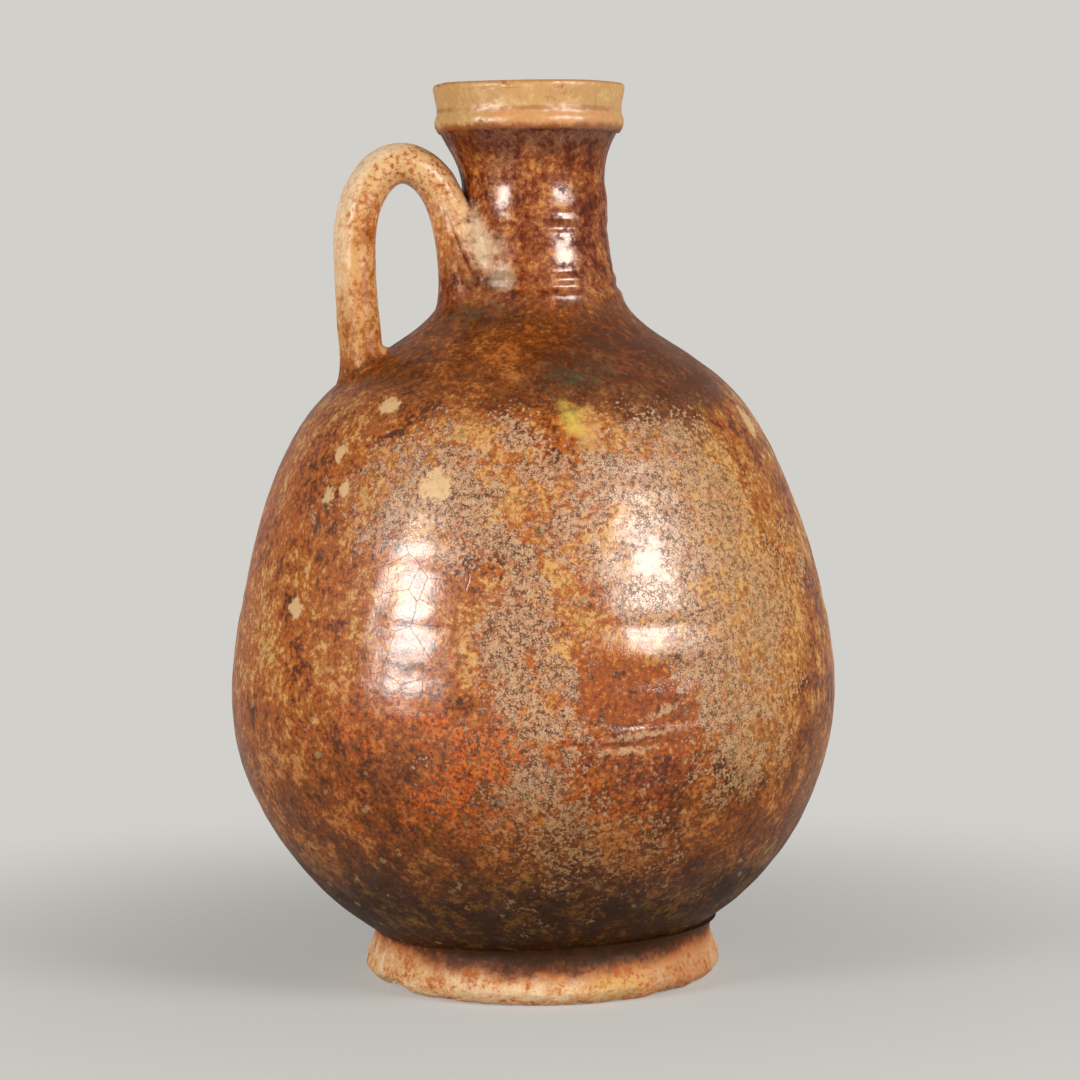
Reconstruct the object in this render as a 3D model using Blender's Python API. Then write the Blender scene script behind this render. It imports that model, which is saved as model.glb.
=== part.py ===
"""Glazed earthenware jug: a globular body on a foot ring, a collared neck and one looped handle.

The jug is put together as a potter does it, from eight pieces of clay that are luted with slip:
a foot ring, two thrown halves of the body, a thrown neck, a folded rim collar, a pulled handle
and the clay that was pressed round the two ends of the handle.

Units are metres and +Z is up. The origin lies on the axis of the body at the plane that the jug
stands on, and the handle points along -X.
"""

import math

import bmesh
import bpy
import numpy as np
from mathutils import Matrix, Vector

# Heights, each measured up from the one before it
FOOT_HEIGHT = 0.018
BELLY_RISE = 0.0785
SHOULDER_RISE = 0.1034
NECK_RISE = 0.0600
FLARE_RISE = 0.0236
COLLAR_HEIGHT = 0.0165

# Outer radii of the body where it leaves the foot, at its widest, on the shoulder and at the neck
WAIST_RADIUS = 0.0566
BELLY_RADIUS = 0.102
SHOULDER_RADIUS = 0.0660
NECK_RADIUS = 0.0248
FLARE_SPREAD = 0.0052

# Walls and the base
BODY_WALL = 0.0065
NECK_WALL = 0.0062
FLOOR_THICKNESS = 0.0065
BASE_INSET = 0.0096
BASE_RECESS = 0.009

# Foot ring: how far it flares, its resting face, its rounded edge and how far it would reach
# into the body before its seat is cut
FOOT_FLARE = 0.0037
FOOT_RING_WIDTH = 0.0070
FOOT_EDGE_INSET = 0.0048
FOOT_EDGE_ROUND = 0.0022
FOOT_OVERRUN = 0.0045

# Collar: how far its bead, groove and lip stand out from the top of the neck, and its mouth
BEAD_OVERHANG = 0.0019
BEAD_HEIGHT = 0.0042
GROOVE_OVERHANG = 0.0011
GROOVE_RISE = 0.0030
LIP_OVERHANG = 0.0025
LIP_THICKNESS = 0.0065
LIP_ROUND = 0.0014

# Where the thrown pieces meet, above the widest place and above the shoulder
BODY_SEAM_RISE = 0.0285
NECK_SEAM_RISE = 0.0290
SEAM_MARGIN = 0.0009
LUTING_GAP = 0.0003
KEY_HEIGHT = 0.0012

# The foot, the neck and the rim sit a little off the axis of the body
FOOT_SHIFT = 0.0024
NECK_SHIFT = 0.0021
RIM_SHIFT = 0.0005

# Directions of the outline, up from the horizontal
LOWER_SLOPE = math.radians(29)
SHOULDER_SLOPE = math.radians(138.3)
FLARE_SLOPE = math.radians(61)
FOOT_SIDE_SLOPE = math.radians(100)
UPRIGHT = math.radians(90)

# Handle: a pulled strap that rises from the neck, arches over and comes down on the shoulder
HANDLE_THICKNESS = 0.0144
HANDLE_WIDTH = 0.0190
HANDLE_REACH = 0.0590
LEG_LEAN = 0.0022
CREST_REACH = 0.0426
CREST_RISE = 0.0268
SPRING_DROP = 0.0129
TAIL_DROP = 0.0380
TAIL_BURY = 0.0030
LEG_BURY = 0.0080

# Clay pressed round the ends of the handle: how far it shows beside, beyond and above each end
NECK_WAD_MARGIN = 0.0065
NECK_WAD_REACH = 0.0190
NECK_WAD_DEPTH = 0.0040
NECK_WAD_TURN = math.radians(17)
NECK_WAD_LIFT = 0.0020
SHOULDER_WAD_MARGIN = 0.0040
SHOULDER_WAD_DEPTH = 0.0042

# How hard each curve holds its end directions, as shares of the chord that it spans
LOWER_SHARES = (0.25, 0.39)
UPPER_SHARES = (0.165, 0.315)
COVE_SHARES = (0.43, 0.615)
FLARE_SHARES = (0.25, 0.70)
FLOOR_SHARES = (0.30, 0.62)
FOOT_SIDE_SHARES = (0.35, 0.35)
LEG_SHARES = (0.35, 0.35)
KEY_SHARES = (0.34, 0.5, 0.66)

# Facets
SEGMENTS = 48
LOWER_STEPS = 9
UPPER_STEPS = 10
COVE_STEPS = 9
FLARE_STEPS = 4
FLOOR_STEPS = 4
FOOT_SIDE_STEPS = 3
ROUND_STEPS = 2
HANDLE_SIDES = 16
LEG_STEPS = 5
ARCH_STEPS = 10
PAD_SEGMENTS = 20
SMOOTH_ANGLE = math.radians(38)
MERGE_DISTANCE = 0.000001

# Heights above the plane that the jug stands on
BELLY_HEIGHT = FOOT_HEIGHT + BELLY_RISE
SHOULDER_HEIGHT = BELLY_HEIGHT + SHOULDER_RISE
NECK_HEIGHT = SHOULDER_HEIGHT + NECK_RISE
COLLAR_BASE = NECK_HEIGHT + FLARE_RISE
RIM_HEIGHT = COLLAR_BASE + COLLAR_HEIGHT
BODY_SEAM_HEIGHT = BELLY_HEIGHT + BODY_SEAM_RISE
NECK_SEAM_HEIGHT = SHOULDER_HEIGHT + NECK_SEAM_RISE
SPRING_HEIGHT = NECK_HEIGHT - SPRING_DROP
CREST_HEIGHT = SPRING_HEIGHT + CREST_RISE
TAIL_HEIGHT = CREST_HEIGHT - TAIL_DROP

# Radii and reaches that follow
FOOT_RADIUS = WAIST_RADIUS + FOOT_FLARE
FOOT_EDGE_RADIUS = FOOT_RADIUS - FOOT_EDGE_INSET
FOOT_BORE_RADIUS = FOOT_EDGE_RADIUS - FOOT_RING_WIDTH
BASE_RADIUS = WAIST_RADIUS - BASE_INSET
FLARE_RADIUS = NECK_RADIUS + FLARE_SPREAD
BEAD_RADIUS = FLARE_RADIUS + BEAD_OVERHANG
GROOVE_RADIUS = FLARE_RADIUS + GROOVE_OVERHANG
COLLAR_RADIUS = FLARE_RADIUS + LIP_OVERHANG
MOUTH_RADIUS = COLLAR_RADIUS - LIP_THICKNESS
HANDLE_FOOT_REACH = HANDLE_REACH - LEG_LEAN


def direction(slope):
    """The unit vector in the outline's plane (radius, height) that points along a slope."""
    return np.array([math.cos(slope), math.sin(slope)])


def curve(start, start_slope, end, end_slope, shares, steps):
    """A cubic curve between two points, leaving and arriving along the given slopes."""
    start = np.asarray(start, float)
    end = np.asarray(end, float)
    chord = np.linalg.norm(end - start)
    leave = start + direction(start_slope) * chord * shares[0]
    arrive = end - direction(end_slope) * chord * shares[1]
    t = np.linspace(0, 1, steps + 1)[:, None]
    back = 1 - t
    return back**3 * start + 3 * back**2 * t * leave + 3 * back * t**2 * arrive + t**3 * end


def rounded_corner(corner, before, after, radius):
    """Points of an arc of about this radius that takes the place of a corner between two points."""
    corner = np.asarray(corner, float)
    towards = np.asarray(before, float) - corner
    onward = np.asarray(after, float) - corner
    start = corner + towards / np.linalg.norm(towards) * radius
    end = corner + onward / np.linalg.norm(onward) * radius
    t = np.linspace(0, 1, ROUND_STEPS + 1)[:, None]
    return (1 - t) ** 2 * start + 2 * (1 - t) * t * corner + t**2 * end


def vessel_outline():
    """The outer outline of body and neck as (radius, height), from the foot ring to the collar."""
    waist = (WAIST_RADIUS, FOOT_HEIGHT)
    belly = (BELLY_RADIUS, BELLY_HEIGHT)
    shoulder = (SHOULDER_RADIUS, SHOULDER_HEIGHT)
    neck = (NECK_RADIUS, NECK_HEIGHT)
    flare = (FLARE_RADIUS, COLLAR_BASE)
    parts = [
        curve(waist, LOWER_SLOPE, belly, UPRIGHT, LOWER_SHARES, LOWER_STEPS),
        curve(belly, UPRIGHT, shoulder, SHOULDER_SLOPE, UPPER_SHARES, UPPER_STEPS)[1:],
        curve(shoulder, SHOULDER_SLOPE, neck, UPRIGHT, COVE_SHARES, COVE_STEPS)[1:],
        curve(neck, UPRIGHT, flare, FLARE_SLOPE, FLARE_SHARES, FLARE_STEPS)[1:],
    ]
    return np.vstack(parts)


def normals_of(outline):
    """Outward unit normals of an outline that runs upwards."""
    along = np.gradient(outline, axis=0)
    normals = np.stack([along[:, 1], -along[:, 0]], axis=1)
    return normals / np.linalg.norm(normals, axis=1)[:, None]


def grown(outline, distance):
    """The outline moved outwards by a distance."""
    return outline + normals_of(outline) * distance


def lined(outline):
    """The inner face of the wall behind an outline, from a body wall to a neck wall."""
    wall = np.interp(outline[:, 1], [SHOULDER_HEIGHT, NECK_HEIGHT], [BODY_WALL, NECK_WALL])
    return outline - normals_of(outline) * wall[:, None]


def at_height(outline, height):
    """The point of an upward outline at a height."""
    return np.array([np.interp(height, outline[:, 1], outline[:, 0]), height])


def shoulder_height_at(reach):
    """The height at which the outline above the belly comes in to a reach."""
    outline = vessel_outline()[LOWER_STEPS:]
    return np.interp(-reach, -outline[:, 0], outline[:, 1])


def between(outline, inner, low, high):
    """The stretches of the outer and inner outlines whose outer heights lie between two joints."""
    heights = outline[:, 1]
    kept = (heights > low + SEAM_MARGIN) & (heights < high - SEAM_MARGIN)
    ends = []
    for height in (low, high):
        outer_end = at_height(outline, height)
        inner_end = [np.interp(height, heights, inner[:, i]) for i in (0, 1)]
        ends.append((outer_end, np.array(inner_end)))
    outside = np.vstack([ends[0][0], outline[kept], ends[1][0]])
    inside = np.vstack([ends[0][1], inner[kept], ends[1][1]])
    return outside, inside


def keyed_joint(outer, inner, lift):
    """A joint face across the wall, with a low ridge along its middle, lifted clear by a gap."""
    across = inner - outer
    upward = np.array([across[1], -across[0]]) / np.linalg.norm(across)
    heights = (0, KEY_HEIGHT, 0)
    face = [outer + across * share + upward * rise for share, rise in zip(KEY_SHARES, heights)]
    return np.vstack([outer, *face, inner]) + upward * lift


def thrown_shell(low, high):
    """The closed section of a thrown piece that reaches from one joint to the next."""
    outline = vessel_outline()
    outside, inside = between(outline, lined(outline), low, high)
    foot = keyed_joint(outside[0], inside[0], LUTING_GAP)
    top = keyed_joint(outside[-1], inside[-1], 0)
    return np.vstack([foot[::-1], outside[1:-1], top, inside[1:-1][::-1]])


def centre_line(height):
    """How far the axis of the jug lies towards +X at a height: body, neck and rim differ."""
    stations = [SHOULDER_HEIGHT, NECK_HEIGHT, COLLAR_BASE]
    shifts = [0, NECK_SHIFT, RIM_SHIFT]
    index = min(max(np.searchsorted(stations, height), 1), len(stations) - 1)
    low, high = stations[index - 1], stations[index]
    t = min(max((height - low) / (high - low), 0), 1)
    ease = t * t * (3 - 2 * t)
    return shifts[index - 1] * (1 - ease) + shifts[index] * ease


def set_on_centre_line(bm):
    """Moves every vertex sideways to where the jug's axis lies at its height."""
    for vertex in bm.verts:
        vertex.co.x += centre_line(vertex.co.z)


def clay(name, colour, roughness):
    """A fired clay or glaze material."""
    material = bpy.data.materials.new(name)
    material.use_nodes = True
    shader = material.node_tree.nodes["Principled BSDF"]
    shader.inputs["Base Color"].default_value = (*colour, 1)
    shader.inputs["Roughness"].default_value = roughness
    shader.inputs["Metallic"].default_value = 0
    return material


def finished(name, bm, material):
    """An object made from a bmesh, with outward faces and smooth shading on its round sides."""
    bmesh.ops.recalc_face_normals(bm, faces=bm.faces)
    mesh = bpy.data.meshes.new(name)
    bm.to_mesh(mesh)
    bm.free()
    mesh.shade_smooth()
    mesh.set_sharp_from_angle(angle=SMOOTH_ANGLE)
    obj = bpy.data.objects.new(name, mesh)
    if material is not None:
        mesh.materials.append(material)
    bpy.context.collection.objects.link(obj)
    return obj


def as_cutter(obj):
    """Marks an object as a tool that only cuts others."""
    obj.hide_render = True
    obj.display_type = "WIRE"
    return obj


def turned(name, section, material, closed=True):
    """A section (radius, height) spun about the axis, then set on the jug's centre line."""
    bm = bmesh.new()
    points = [bm.verts.new((radius, 0, height)) for radius, height in section]
    edges = [bm.edges.new(pair) for pair in zip(points, points[1:])]
    if closed:
        edges.append(bm.edges.new((points[-1], points[0])))
    bmesh.ops.spin(
        bm,
        geom=points + edges,
        cent=(0, 0, 0),
        axis=(0, 0, 1),
        angle=math.tau,
        steps=SEGMENTS,
        use_merge=True,
    )
    bmesh.ops.remove_doubles(bm, verts=bm.verts, dist=MERGE_DISTANCE)
    set_on_centre_line(bm)
    return finished(name, bm, material)


def lofted(name, rings, material):
    """A closed solid through rings of points, with a cap on its first and last ring."""
    bm = bmesh.new()
    loops = [[bm.verts.new(point) for point in ring] for ring in rings]
    for one, other in zip(loops, loops[1:]):
        for i, vertex in enumerate(one):
            after = (i + 1) % len(one)
            bm.faces.new((vertex, one[after], other[after], other[i]))
    bm.faces.new(loops[0])
    bm.faces.new(loops[-1])
    return finished(name, bm, material)


def cut_away(obj, cutter):
    """Cuts one object's shape out of another."""
    modifier = obj.modifiers.new("Cut by " + cutter.name, "BOOLEAN")
    modifier.operation = "DIFFERENCE"
    modifier.solver = "EXACT"
    modifier.object = cutter


def make_foot_ring(core):
    """The foot ring: bare clay, flared to a rounded edge, off the axis, cut to seat the body."""
    top = FOOT_HEIGHT + FOOT_OVERRUN
    bore_top = (FOOT_BORE_RADIUS, top)
    bore_edge = (FOOT_BORE_RADIUS, 0)
    edge = (FOOT_EDGE_RADIUS, 0)
    corner = (FOOT_RADIUS - FOOT_EDGE_ROUND, 0)
    widest = (FOOT_RADIUS, FOOT_EDGE_ROUND + FOOT_EDGE_ROUND)
    rounding = rounded_corner(corner, edge, widest, FOOT_EDGE_ROUND)
    shoulder = (WAIST_RADIUS, top)
    side = curve(widest, UPRIGHT, shoulder, FOOT_SIDE_SLOPE, FOOT_SIDE_SHARES, FOOT_SIDE_STEPS)
    section = np.vstack([bore_top, bore_edge, rounding, side])
    ring = turned("foot_ring", section, clay("Bare buff clay", (0.55, 0.30, 0.16), 0.85))
    ring.location.x = FOOT_SHIFT
    cut_away(ring, core)


def make_lower_body():
    """The lower half of the body, with its floor, up to the joint above the widest place."""
    outline = vessel_outline()
    inner = lined(outline)
    outside, inside = between(outline, inner, FOOT_HEIGHT, BODY_SEAM_HEIGHT)
    floor = (0, BASE_RECESS + FLOOR_THICKNESS)
    bowl = curve(inner[0], math.pi + LOWER_SLOPE, floor, math.pi, FLOOR_SHARES, FLOOR_STEPS)
    base = np.array([[0, BASE_RECESS], [BASE_RADIUS, BASE_RECESS], [WAIST_RADIUS, FOOT_HEIGHT]])
    joint = keyed_joint(outside[-1], inside[-1], 0)
    section = np.vstack([base, outside[1:-1], joint, inside[1:-1][::-1], bowl])
    material = clay("Brown glaze, lower body", (0.34, 0.14, 0.05), 0.32)
    return turned("lower_body", section, material, closed=False)


def make_upper_body():
    """The upper half of the body, from the joint above the widest place to the neck."""
    section = thrown_shell(BODY_SEAM_HEIGHT, NECK_SEAM_HEIGHT)
    material = clay("Brown glaze, upper body", (0.42, 0.21, 0.09), 0.34)
    return turned("upper_body", section, material)


def make_neck():
    """The neck, with its foot on the shoulder and its flare under the collar."""
    section = thrown_shell(NECK_SEAM_HEIGHT, COLLAR_BASE)
    material = clay("Red-brown glaze, neck", (0.33, 0.12, 0.05), 0.28)
    return turned("neck", section, material)


def make_rim_collar():
    """The collar: a bead over the neck, a groove, a plain band and a rounded lip."""
    outline = vessel_outline()
    outer = outline[-1]
    joint = keyed_joint(outer, lined(outline)[-1], LUTING_GAP)
    bead_foot = np.array([BEAD_RADIUS - LIP_ROUND / 2, joint[0][1]])
    bead = np.array([BEAD_RADIUS, joint[0][1] + BEAD_HEIGHT / 2])
    bead_top = np.array([BEAD_RADIUS, joint[0][1] + BEAD_HEIGHT])
    groove = np.array([GROOVE_RADIUS, bead_top[1] + GROOVE_RISE])
    lip = (COLLAR_RADIUS, RIM_HEIGHT)
    mouth = (MOUTH_RADIUS, RIM_HEIGHT)
    outer_lip = rounded_corner(lip, groove, mouth, LIP_ROUND)
    inner_lip = rounded_corner(mouth, lip, joint[-1], LIP_ROUND)
    section = np.vstack([joint[::-1], bead_foot, bead, bead_top, groove, outer_lip, inner_lip])
    material = clay("Ochre glaze, rim", (0.55, 0.35, 0.16), 0.35)
    return turned("rim_collar", section, material)


def quarter_arch(crest, spring):
    """A quarter of an ellipse from a springing point up to the crest, the crest left out."""
    angle = np.linspace(0, math.pi / 2, ARCH_STEPS + 1)[:-1]
    reach = crest[0] + (spring[0] - crest[0]) * np.cos(angle)
    height = spring[1] + (crest[1] - spring[1]) * np.sin(angle)
    return np.stack([reach, height], axis=1)


def handle_path(overrun):
    """The middle line of the strap as (reach, height), from inside the shoulder to inside the neck.

    A leg rises from the shoulder, a quarter of an ellipse takes it to the crest, and a taller
    quarter brings it down against the wall of the neck. The overrun lengthens both ends.
    """
    crest = np.array([CREST_REACH, CREST_HEIGHT])
    neck_here = at_height(vessel_outline(), TAIL_HEIGHT)[0] - centre_line(TAIL_HEIGHT)
    foot = np.array([HANDLE_FOOT_REACH, shoulder_height_at(HANDLE_FOOT_REACH) - LEG_BURY])
    spring = np.array([HANDLE_REACH, SPRING_HEIGHT])
    tail = np.array([neck_here - TAIL_BURY, TAIL_HEIGHT])
    leg = curve(foot, UPRIGHT, spring, UPRIGHT, LEG_SHARES, LEG_STEPS)[:-1]
    rising = quarter_arch(crest, spring)
    falling = quarter_arch(crest, tail)[::-1]
    path = np.vstack([leg, rising, crest, falling])
    if overrun:
        before = path[0] + (path[0] - path[1]) / np.linalg.norm(path[0] - path[1]) * overrun
        beyond = path[-1] + (path[-1] - path[-2]) / np.linalg.norm(path[-1] - path[-2]) * overrun
        path = np.vstack([before, path, beyond])
    return path


def strap_rings(path, growth):
    """Oval sections square to the strap's path, each moved out by a growth."""
    along = np.gradient(path, axis=0)
    along /= np.linalg.norm(along, axis=1)[:, None]
    half_thickness = HANDLE_THICKNESS / 2 + growth
    half_width = HANDLE_WIDTH / 2 + growth
    angle = np.linspace(0, math.tau, HANDLE_SIDES, endpoint=False)
    rings = []
    for (reach, height), (reach_step, height_step) in zip(path, along):
        ring = []
        for a in angle:
            out = half_thickness * math.cos(a)
            side = half_width * math.sin(a)
            ring.append((-(reach + out * height_step), side, height - out * reach_step))
        rings.append(ring)
    return rings


def surface_frame(height, turn):
    """A matrix whose origin lies on the jug's surface, turned from the handle towards -Y.

    Its X runs round the jug, its Y up the slope and its Z outwards.
    """
    outline = vessel_outline()
    radius, _ = at_height(outline, height)
    normals = normals_of(outline)
    normal = [np.interp(height, outline[:, 1], normals[:, i]) for i in (0, 1)]
    away = Vector((-math.cos(turn), -math.sin(turn), 0))
    outward = (away * normal[0] + Vector((0, 0, normal[1]))).normalized()
    around = Vector((0, 0, 1)).cross(away).normalized()
    upward = outward.cross(around)
    frame = Matrix((around, upward, outward)).transposed().to_4x4()
    frame.translation = away * radius + Vector((centre_line(height), 0, height))
    return frame


def pressed_pad(name, height, turn, half_sizes, cutters):
    """A lump of clay, flattened on the surface, cut clear of the jug and of the strap."""
    bm = bmesh.new()
    stretch = Matrix.Diagonal((*half_sizes, 1))
    bmesh.ops.create_uvsphere(
        bm,
        u_segments=PAD_SEGMENTS,
        v_segments=PAD_SEGMENTS // 2,
        radius=1,
        matrix=surface_frame(height, turn) @ stretch,
    )
    pad = finished(name, bm, clay("Smeared clay, " + name, (0.46, 0.26, 0.13), 0.45))
    for cutter in cutters:
        cut_away(pad, cutter)
    return pad


def make_neck_wad(cutters):
    """The clay smeared from the strap's tail down the neck and round towards the front."""
    half_width = HANDLE_WIDTH / 2 + NECK_WAD_MARGIN
    height = TAIL_HEIGHT + NECK_WAD_LIFT
    half_sizes = (half_width, NECK_WAD_REACH, NECK_WAD_DEPTH)
    return pressed_pad("handle_neck_wad", height, NECK_WAD_TURN, half_sizes, cutters)


def make_shoulder_wad(cutters):
    """The collar of clay round the strap's foot on the shoulder, longer down the slope."""
    slope = math.pi - SHOULDER_SLOPE
    half_width = HANDLE_WIDTH / 2 + SHOULDER_WAD_MARGIN
    half_length = HANDLE_THICKNESS / 2 / math.cos(slope) + SHOULDER_WAD_MARGIN
    half_sizes = (half_width, half_length, SHOULDER_WAD_DEPTH)
    height = shoulder_height_at(HANDLE_FOOT_REACH)
    return pressed_pad("handle_shoulder_wad", height, 0, half_sizes, cutters)


def make_handle(core):
    """The pulled strap, cut clear of the shoulder and the neck."""
    material = clay("Tan glaze, handle", (0.50, 0.27, 0.11), 0.33)
    handle = lofted("handle", strap_rings(handle_path(0), 0), material)
    cut_away(handle, core)
    return handle


def make_vessel_core():
    """A solid of body and neck, grown by the luting gap, that trims what sits on them."""
    seat = [(BASE_RADIUS, BASE_RECESS), (WAIST_RADIUS, FOOT_HEIGHT)]
    outline = grown(np.vstack([seat, vessel_outline()[1:]]), LUTING_GAP)
    foot = (0, BASE_RECESS - LUTING_GAP)
    top = (0, outline[-1][1])
    section = np.vstack([foot, outline, top])
    return as_cutter(turned("vessel_core", section, None, closed=False))


def make_strap_core():
    """The strap, grown by the luting gap, that trims the clay pressed round it."""
    rings = strap_rings(handle_path(LUTING_GAP), LUTING_GAP)
    return as_cutter(lofted("strap_core", rings, None))


def main():
    for obj in list(bpy.data.objects):
        bpy.data.objects.remove(obj, do_unlink=True)
    make_lower_body()
    make_upper_body()
    make_neck()
    make_rim_collar()
    vessel_core = make_vessel_core()
    make_foot_ring(vessel_core)
    strap_core = make_strap_core()
    make_handle(vessel_core)
    make_neck_wad((vessel_core, strap_core))
    make_shoulder_wad((vessel_core, strap_core))


main()
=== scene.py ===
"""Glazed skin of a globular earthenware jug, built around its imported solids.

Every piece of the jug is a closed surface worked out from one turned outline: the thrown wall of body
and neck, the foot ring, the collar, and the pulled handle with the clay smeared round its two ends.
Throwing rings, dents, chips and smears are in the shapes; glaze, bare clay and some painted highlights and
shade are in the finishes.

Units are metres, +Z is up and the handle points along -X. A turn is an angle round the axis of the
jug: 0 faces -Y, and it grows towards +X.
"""

import math
from functools import reduce

import bpy
import numpy as np
from bpy.props import FloatProperty, FloatVectorProperty, PointerProperty
from mathutils import Matrix, Vector


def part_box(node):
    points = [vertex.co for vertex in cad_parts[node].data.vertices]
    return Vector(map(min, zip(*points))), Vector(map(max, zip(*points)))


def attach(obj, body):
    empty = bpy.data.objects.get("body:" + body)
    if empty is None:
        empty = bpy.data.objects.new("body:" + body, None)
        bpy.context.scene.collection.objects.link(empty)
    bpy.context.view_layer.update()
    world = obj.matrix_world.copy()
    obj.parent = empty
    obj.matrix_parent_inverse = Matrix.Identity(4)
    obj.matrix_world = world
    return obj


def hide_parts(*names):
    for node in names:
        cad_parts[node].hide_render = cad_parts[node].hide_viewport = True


bl_info = {
    "name": "Glazed Jug",
    "version": (1, 0, 0),
    "blender": (4, 5, 0),
    "location": "3D View > Sidebar > Jug",
    "description": "Builds the fired and glazed surface of a globular jug around its packed solids",
    "category": "Object",
}

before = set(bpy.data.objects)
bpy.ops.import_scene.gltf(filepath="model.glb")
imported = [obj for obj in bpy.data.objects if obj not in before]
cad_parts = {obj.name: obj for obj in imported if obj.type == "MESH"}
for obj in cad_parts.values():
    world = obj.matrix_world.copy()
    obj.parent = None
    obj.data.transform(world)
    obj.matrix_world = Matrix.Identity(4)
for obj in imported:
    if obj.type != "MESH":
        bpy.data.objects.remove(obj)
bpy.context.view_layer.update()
BODY_LOW, BODY_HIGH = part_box("lower_body")
FOOT_LOW, FOOT_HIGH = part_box("foot_ring")
RIM_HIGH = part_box("rim_collar")[1]
HANDLE_LOW, HANDLE_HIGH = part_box("handle")

# Thrown shape: how hard each stretch of the outline holds its end directions, as shares of its chord
LOWER_SHARES = (0.25, 0.39)
UPPER_SHARES = (0.165, 0.315)
COVE_SHARES = (0.43, 0.615)
FLARE_SHARES = (0.25, 0.70)
FLOOR_SHARES = (0.30, 0.62)
CURVE_STEPS = 160
UPRIGHT = math.radians(90)

# Fineness of the meshes
COLUMNS = 480
FOOT_COLUMNS = 640
BODY_ROWS = 120
SHELL_ROWS = 110
LINING_ROWS = 36
EDGE_ROWS = 3
PATH_POINTS = 600
STRAP_ROWS = 190
STRAP_SIDES = 96
ROOT_ROWS = 44
FLOOR_ROWS = 24
FLOOR_COLUMNS = 96
SHARP_ANGLE = math.radians(40)

# Rings and grooves that the potter's fingers left: height, half height and rise in metres, then the
# turn in degrees where each is strongest and how far round it reaches
RINGS = np.array([
    (0.1270, 0.0032, -0.00036, -10, 130),
    (0.1310, 0.0040, 0.00020, -10, 130),
    (0.1220, 0.0036, 0.00018, -10, 130),
    (0.1545, 0.0035, 0.00016, 10, 70),
    (0.1500, 0.0025, -0.00016, 10, 70),
    (0.1050, 0.0035, 0.00015, 0, 90),
    (0.1183, 0.0044, 0.00056, 14, 26),
    (0.0978, 0.0015, -0.00046, 8, 26),
    (0.0945, 0.0015, 0.00046, 8, 24),
    (0.0908, 0.0012, -0.00036, 6, 20),
    (0.0882, 0.0014, 0.00030, 4, 20),
    (0.1800, 0.0045, 0.00012, 30, 80),
    (0.0640, 0.0040, 0.00014, -20, 90),
    (0.2568, 0.0012, -0.00016, 15, 60),
    (0.2520, 0.0014, -0.00050, 10, 75),
    (0.2546, 0.0013, 0.00018, 15, 60),
    (0.2380, 0.0017, -0.00034, 0, 120),
    (0.2353, 0.0013, 0.00036, 0, 120),
    (0.2326, 0.0013, -0.00050, 0, 120),
    (0.2300, 0.0015, 0.00062, 0, 120),
    (0.2700, 0.0030, 0.00016, 0, 150),
])

# Slow wander of the thrown axis towards the right of the picture: height, half height, shift
SWAYS = np.array([
    (0.045, 0.020, 0.0006),
    (0.175, 0.020, -0.0006),
    (0.240, 0.006, 0.0003),
])

# Unevenness: wave length, rise and seed of each swell, and how far the surface is eased back for them
WALL_SWELLS = ((0.085, 0.00022, 3), (0.030, 0.00010, 5), (0.011, 0.000045, 7), (0.0045, 0.000018, 9))
WALL_EASE = 0.00026
FOOT_SWELLS = ((0.022, 0.00014, 24), (0.006, 0.00008, 25), (0.002, 0.00005, 26))
FOOT_EASE = 0.0003
COLLAR_SWELLS = ((0.020, 0.00016, 31), (0.006, 0.00008, 32), (0.0022, 0.00003, 33))
COLLAR_EASE = 0.00022
STRAP_SWELLS = ((0.030, 0.00016, 41), (0.009, 0.00008, 42))
STRAP_EASE = 0.0002
CHIP_SWELLS = ((0.0060, 0.20, 21), (0.0025, 0.20, 22))
RIPPLE_WAVES = 22

# Spirals of throwing and of turning the underside, small bites at the foot's edge, nicks of the lip
THROWING_PITCH = 0.0088
THROWING_RISE = 0.00006
TURNING_PITCH = 0.0035
TURNING_RISE = 0.00012
FOOT_NIBBLES = 0.00018
LIP_NICKS = 0.0012
LIP_WAVE = 0.00010

# Foot ring: gap to the body above its bore, height of its widest place, how far its lip laps up the
# body, and how far behind the body's face the lip ends
FOOT_SEAT = 0.0006
FOOT_WIDEST = 0.00484
FOOT_OVERRUN = 0.0016
FOOT_LIP_GAP = 0.0002

# Chips along the lower edge of the foot: turn and half width in degrees, depth in metres
FOOT_CHIPS = np.array([
    (-73, 8, 0.0012),
    (-48, 4, 0.0003),
    (14, 5, 0.0002),
    (35, 8, 0.0005),
    (53, 6, 0.0003),
    (120, 9, 0.0010),
    (-150, 12, 0.0012),
])

# Handle: its turn, how deep its path starts in the shoulder, where its skin starts and ends, and over
# how many points to each side the path is smoothed
HANDLE_TURN = math.radians(-90)
LEG_SUNK = 0.008
LEG_START = 0.0068
LEG_SHARES = (0.35, 0.35)
NECK_END_HEIGHT = 0.2668
PATH_BLUR = 20

# The strap's size in shares at three shares of its length, the distance and size of the rings that
# close its hidden ends, and the share of its width that its ribs leave
STRAP_TAPER = ((0, 0.55, 1), (1, 0.985, 0.93))
STRAP_ENDS = ((0.002, 0.88), (0.0004, 0.96))
RIB_ROOM = 0.985

# Wads: how deep their edge lies in the wall, the scale and depth of the two rings that close them, and
# the ridge of the upper one with its place round the strap in degrees
NECK_WAD_HEIGHT = 0.2425
WAD_SINK = 0.00012
WAD_CLOSING = ((0.97, 0.0012), (0.30, 0.0016))
RIDGE_RISE = 0.0017
RIDGE_SIDE = 222

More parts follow.
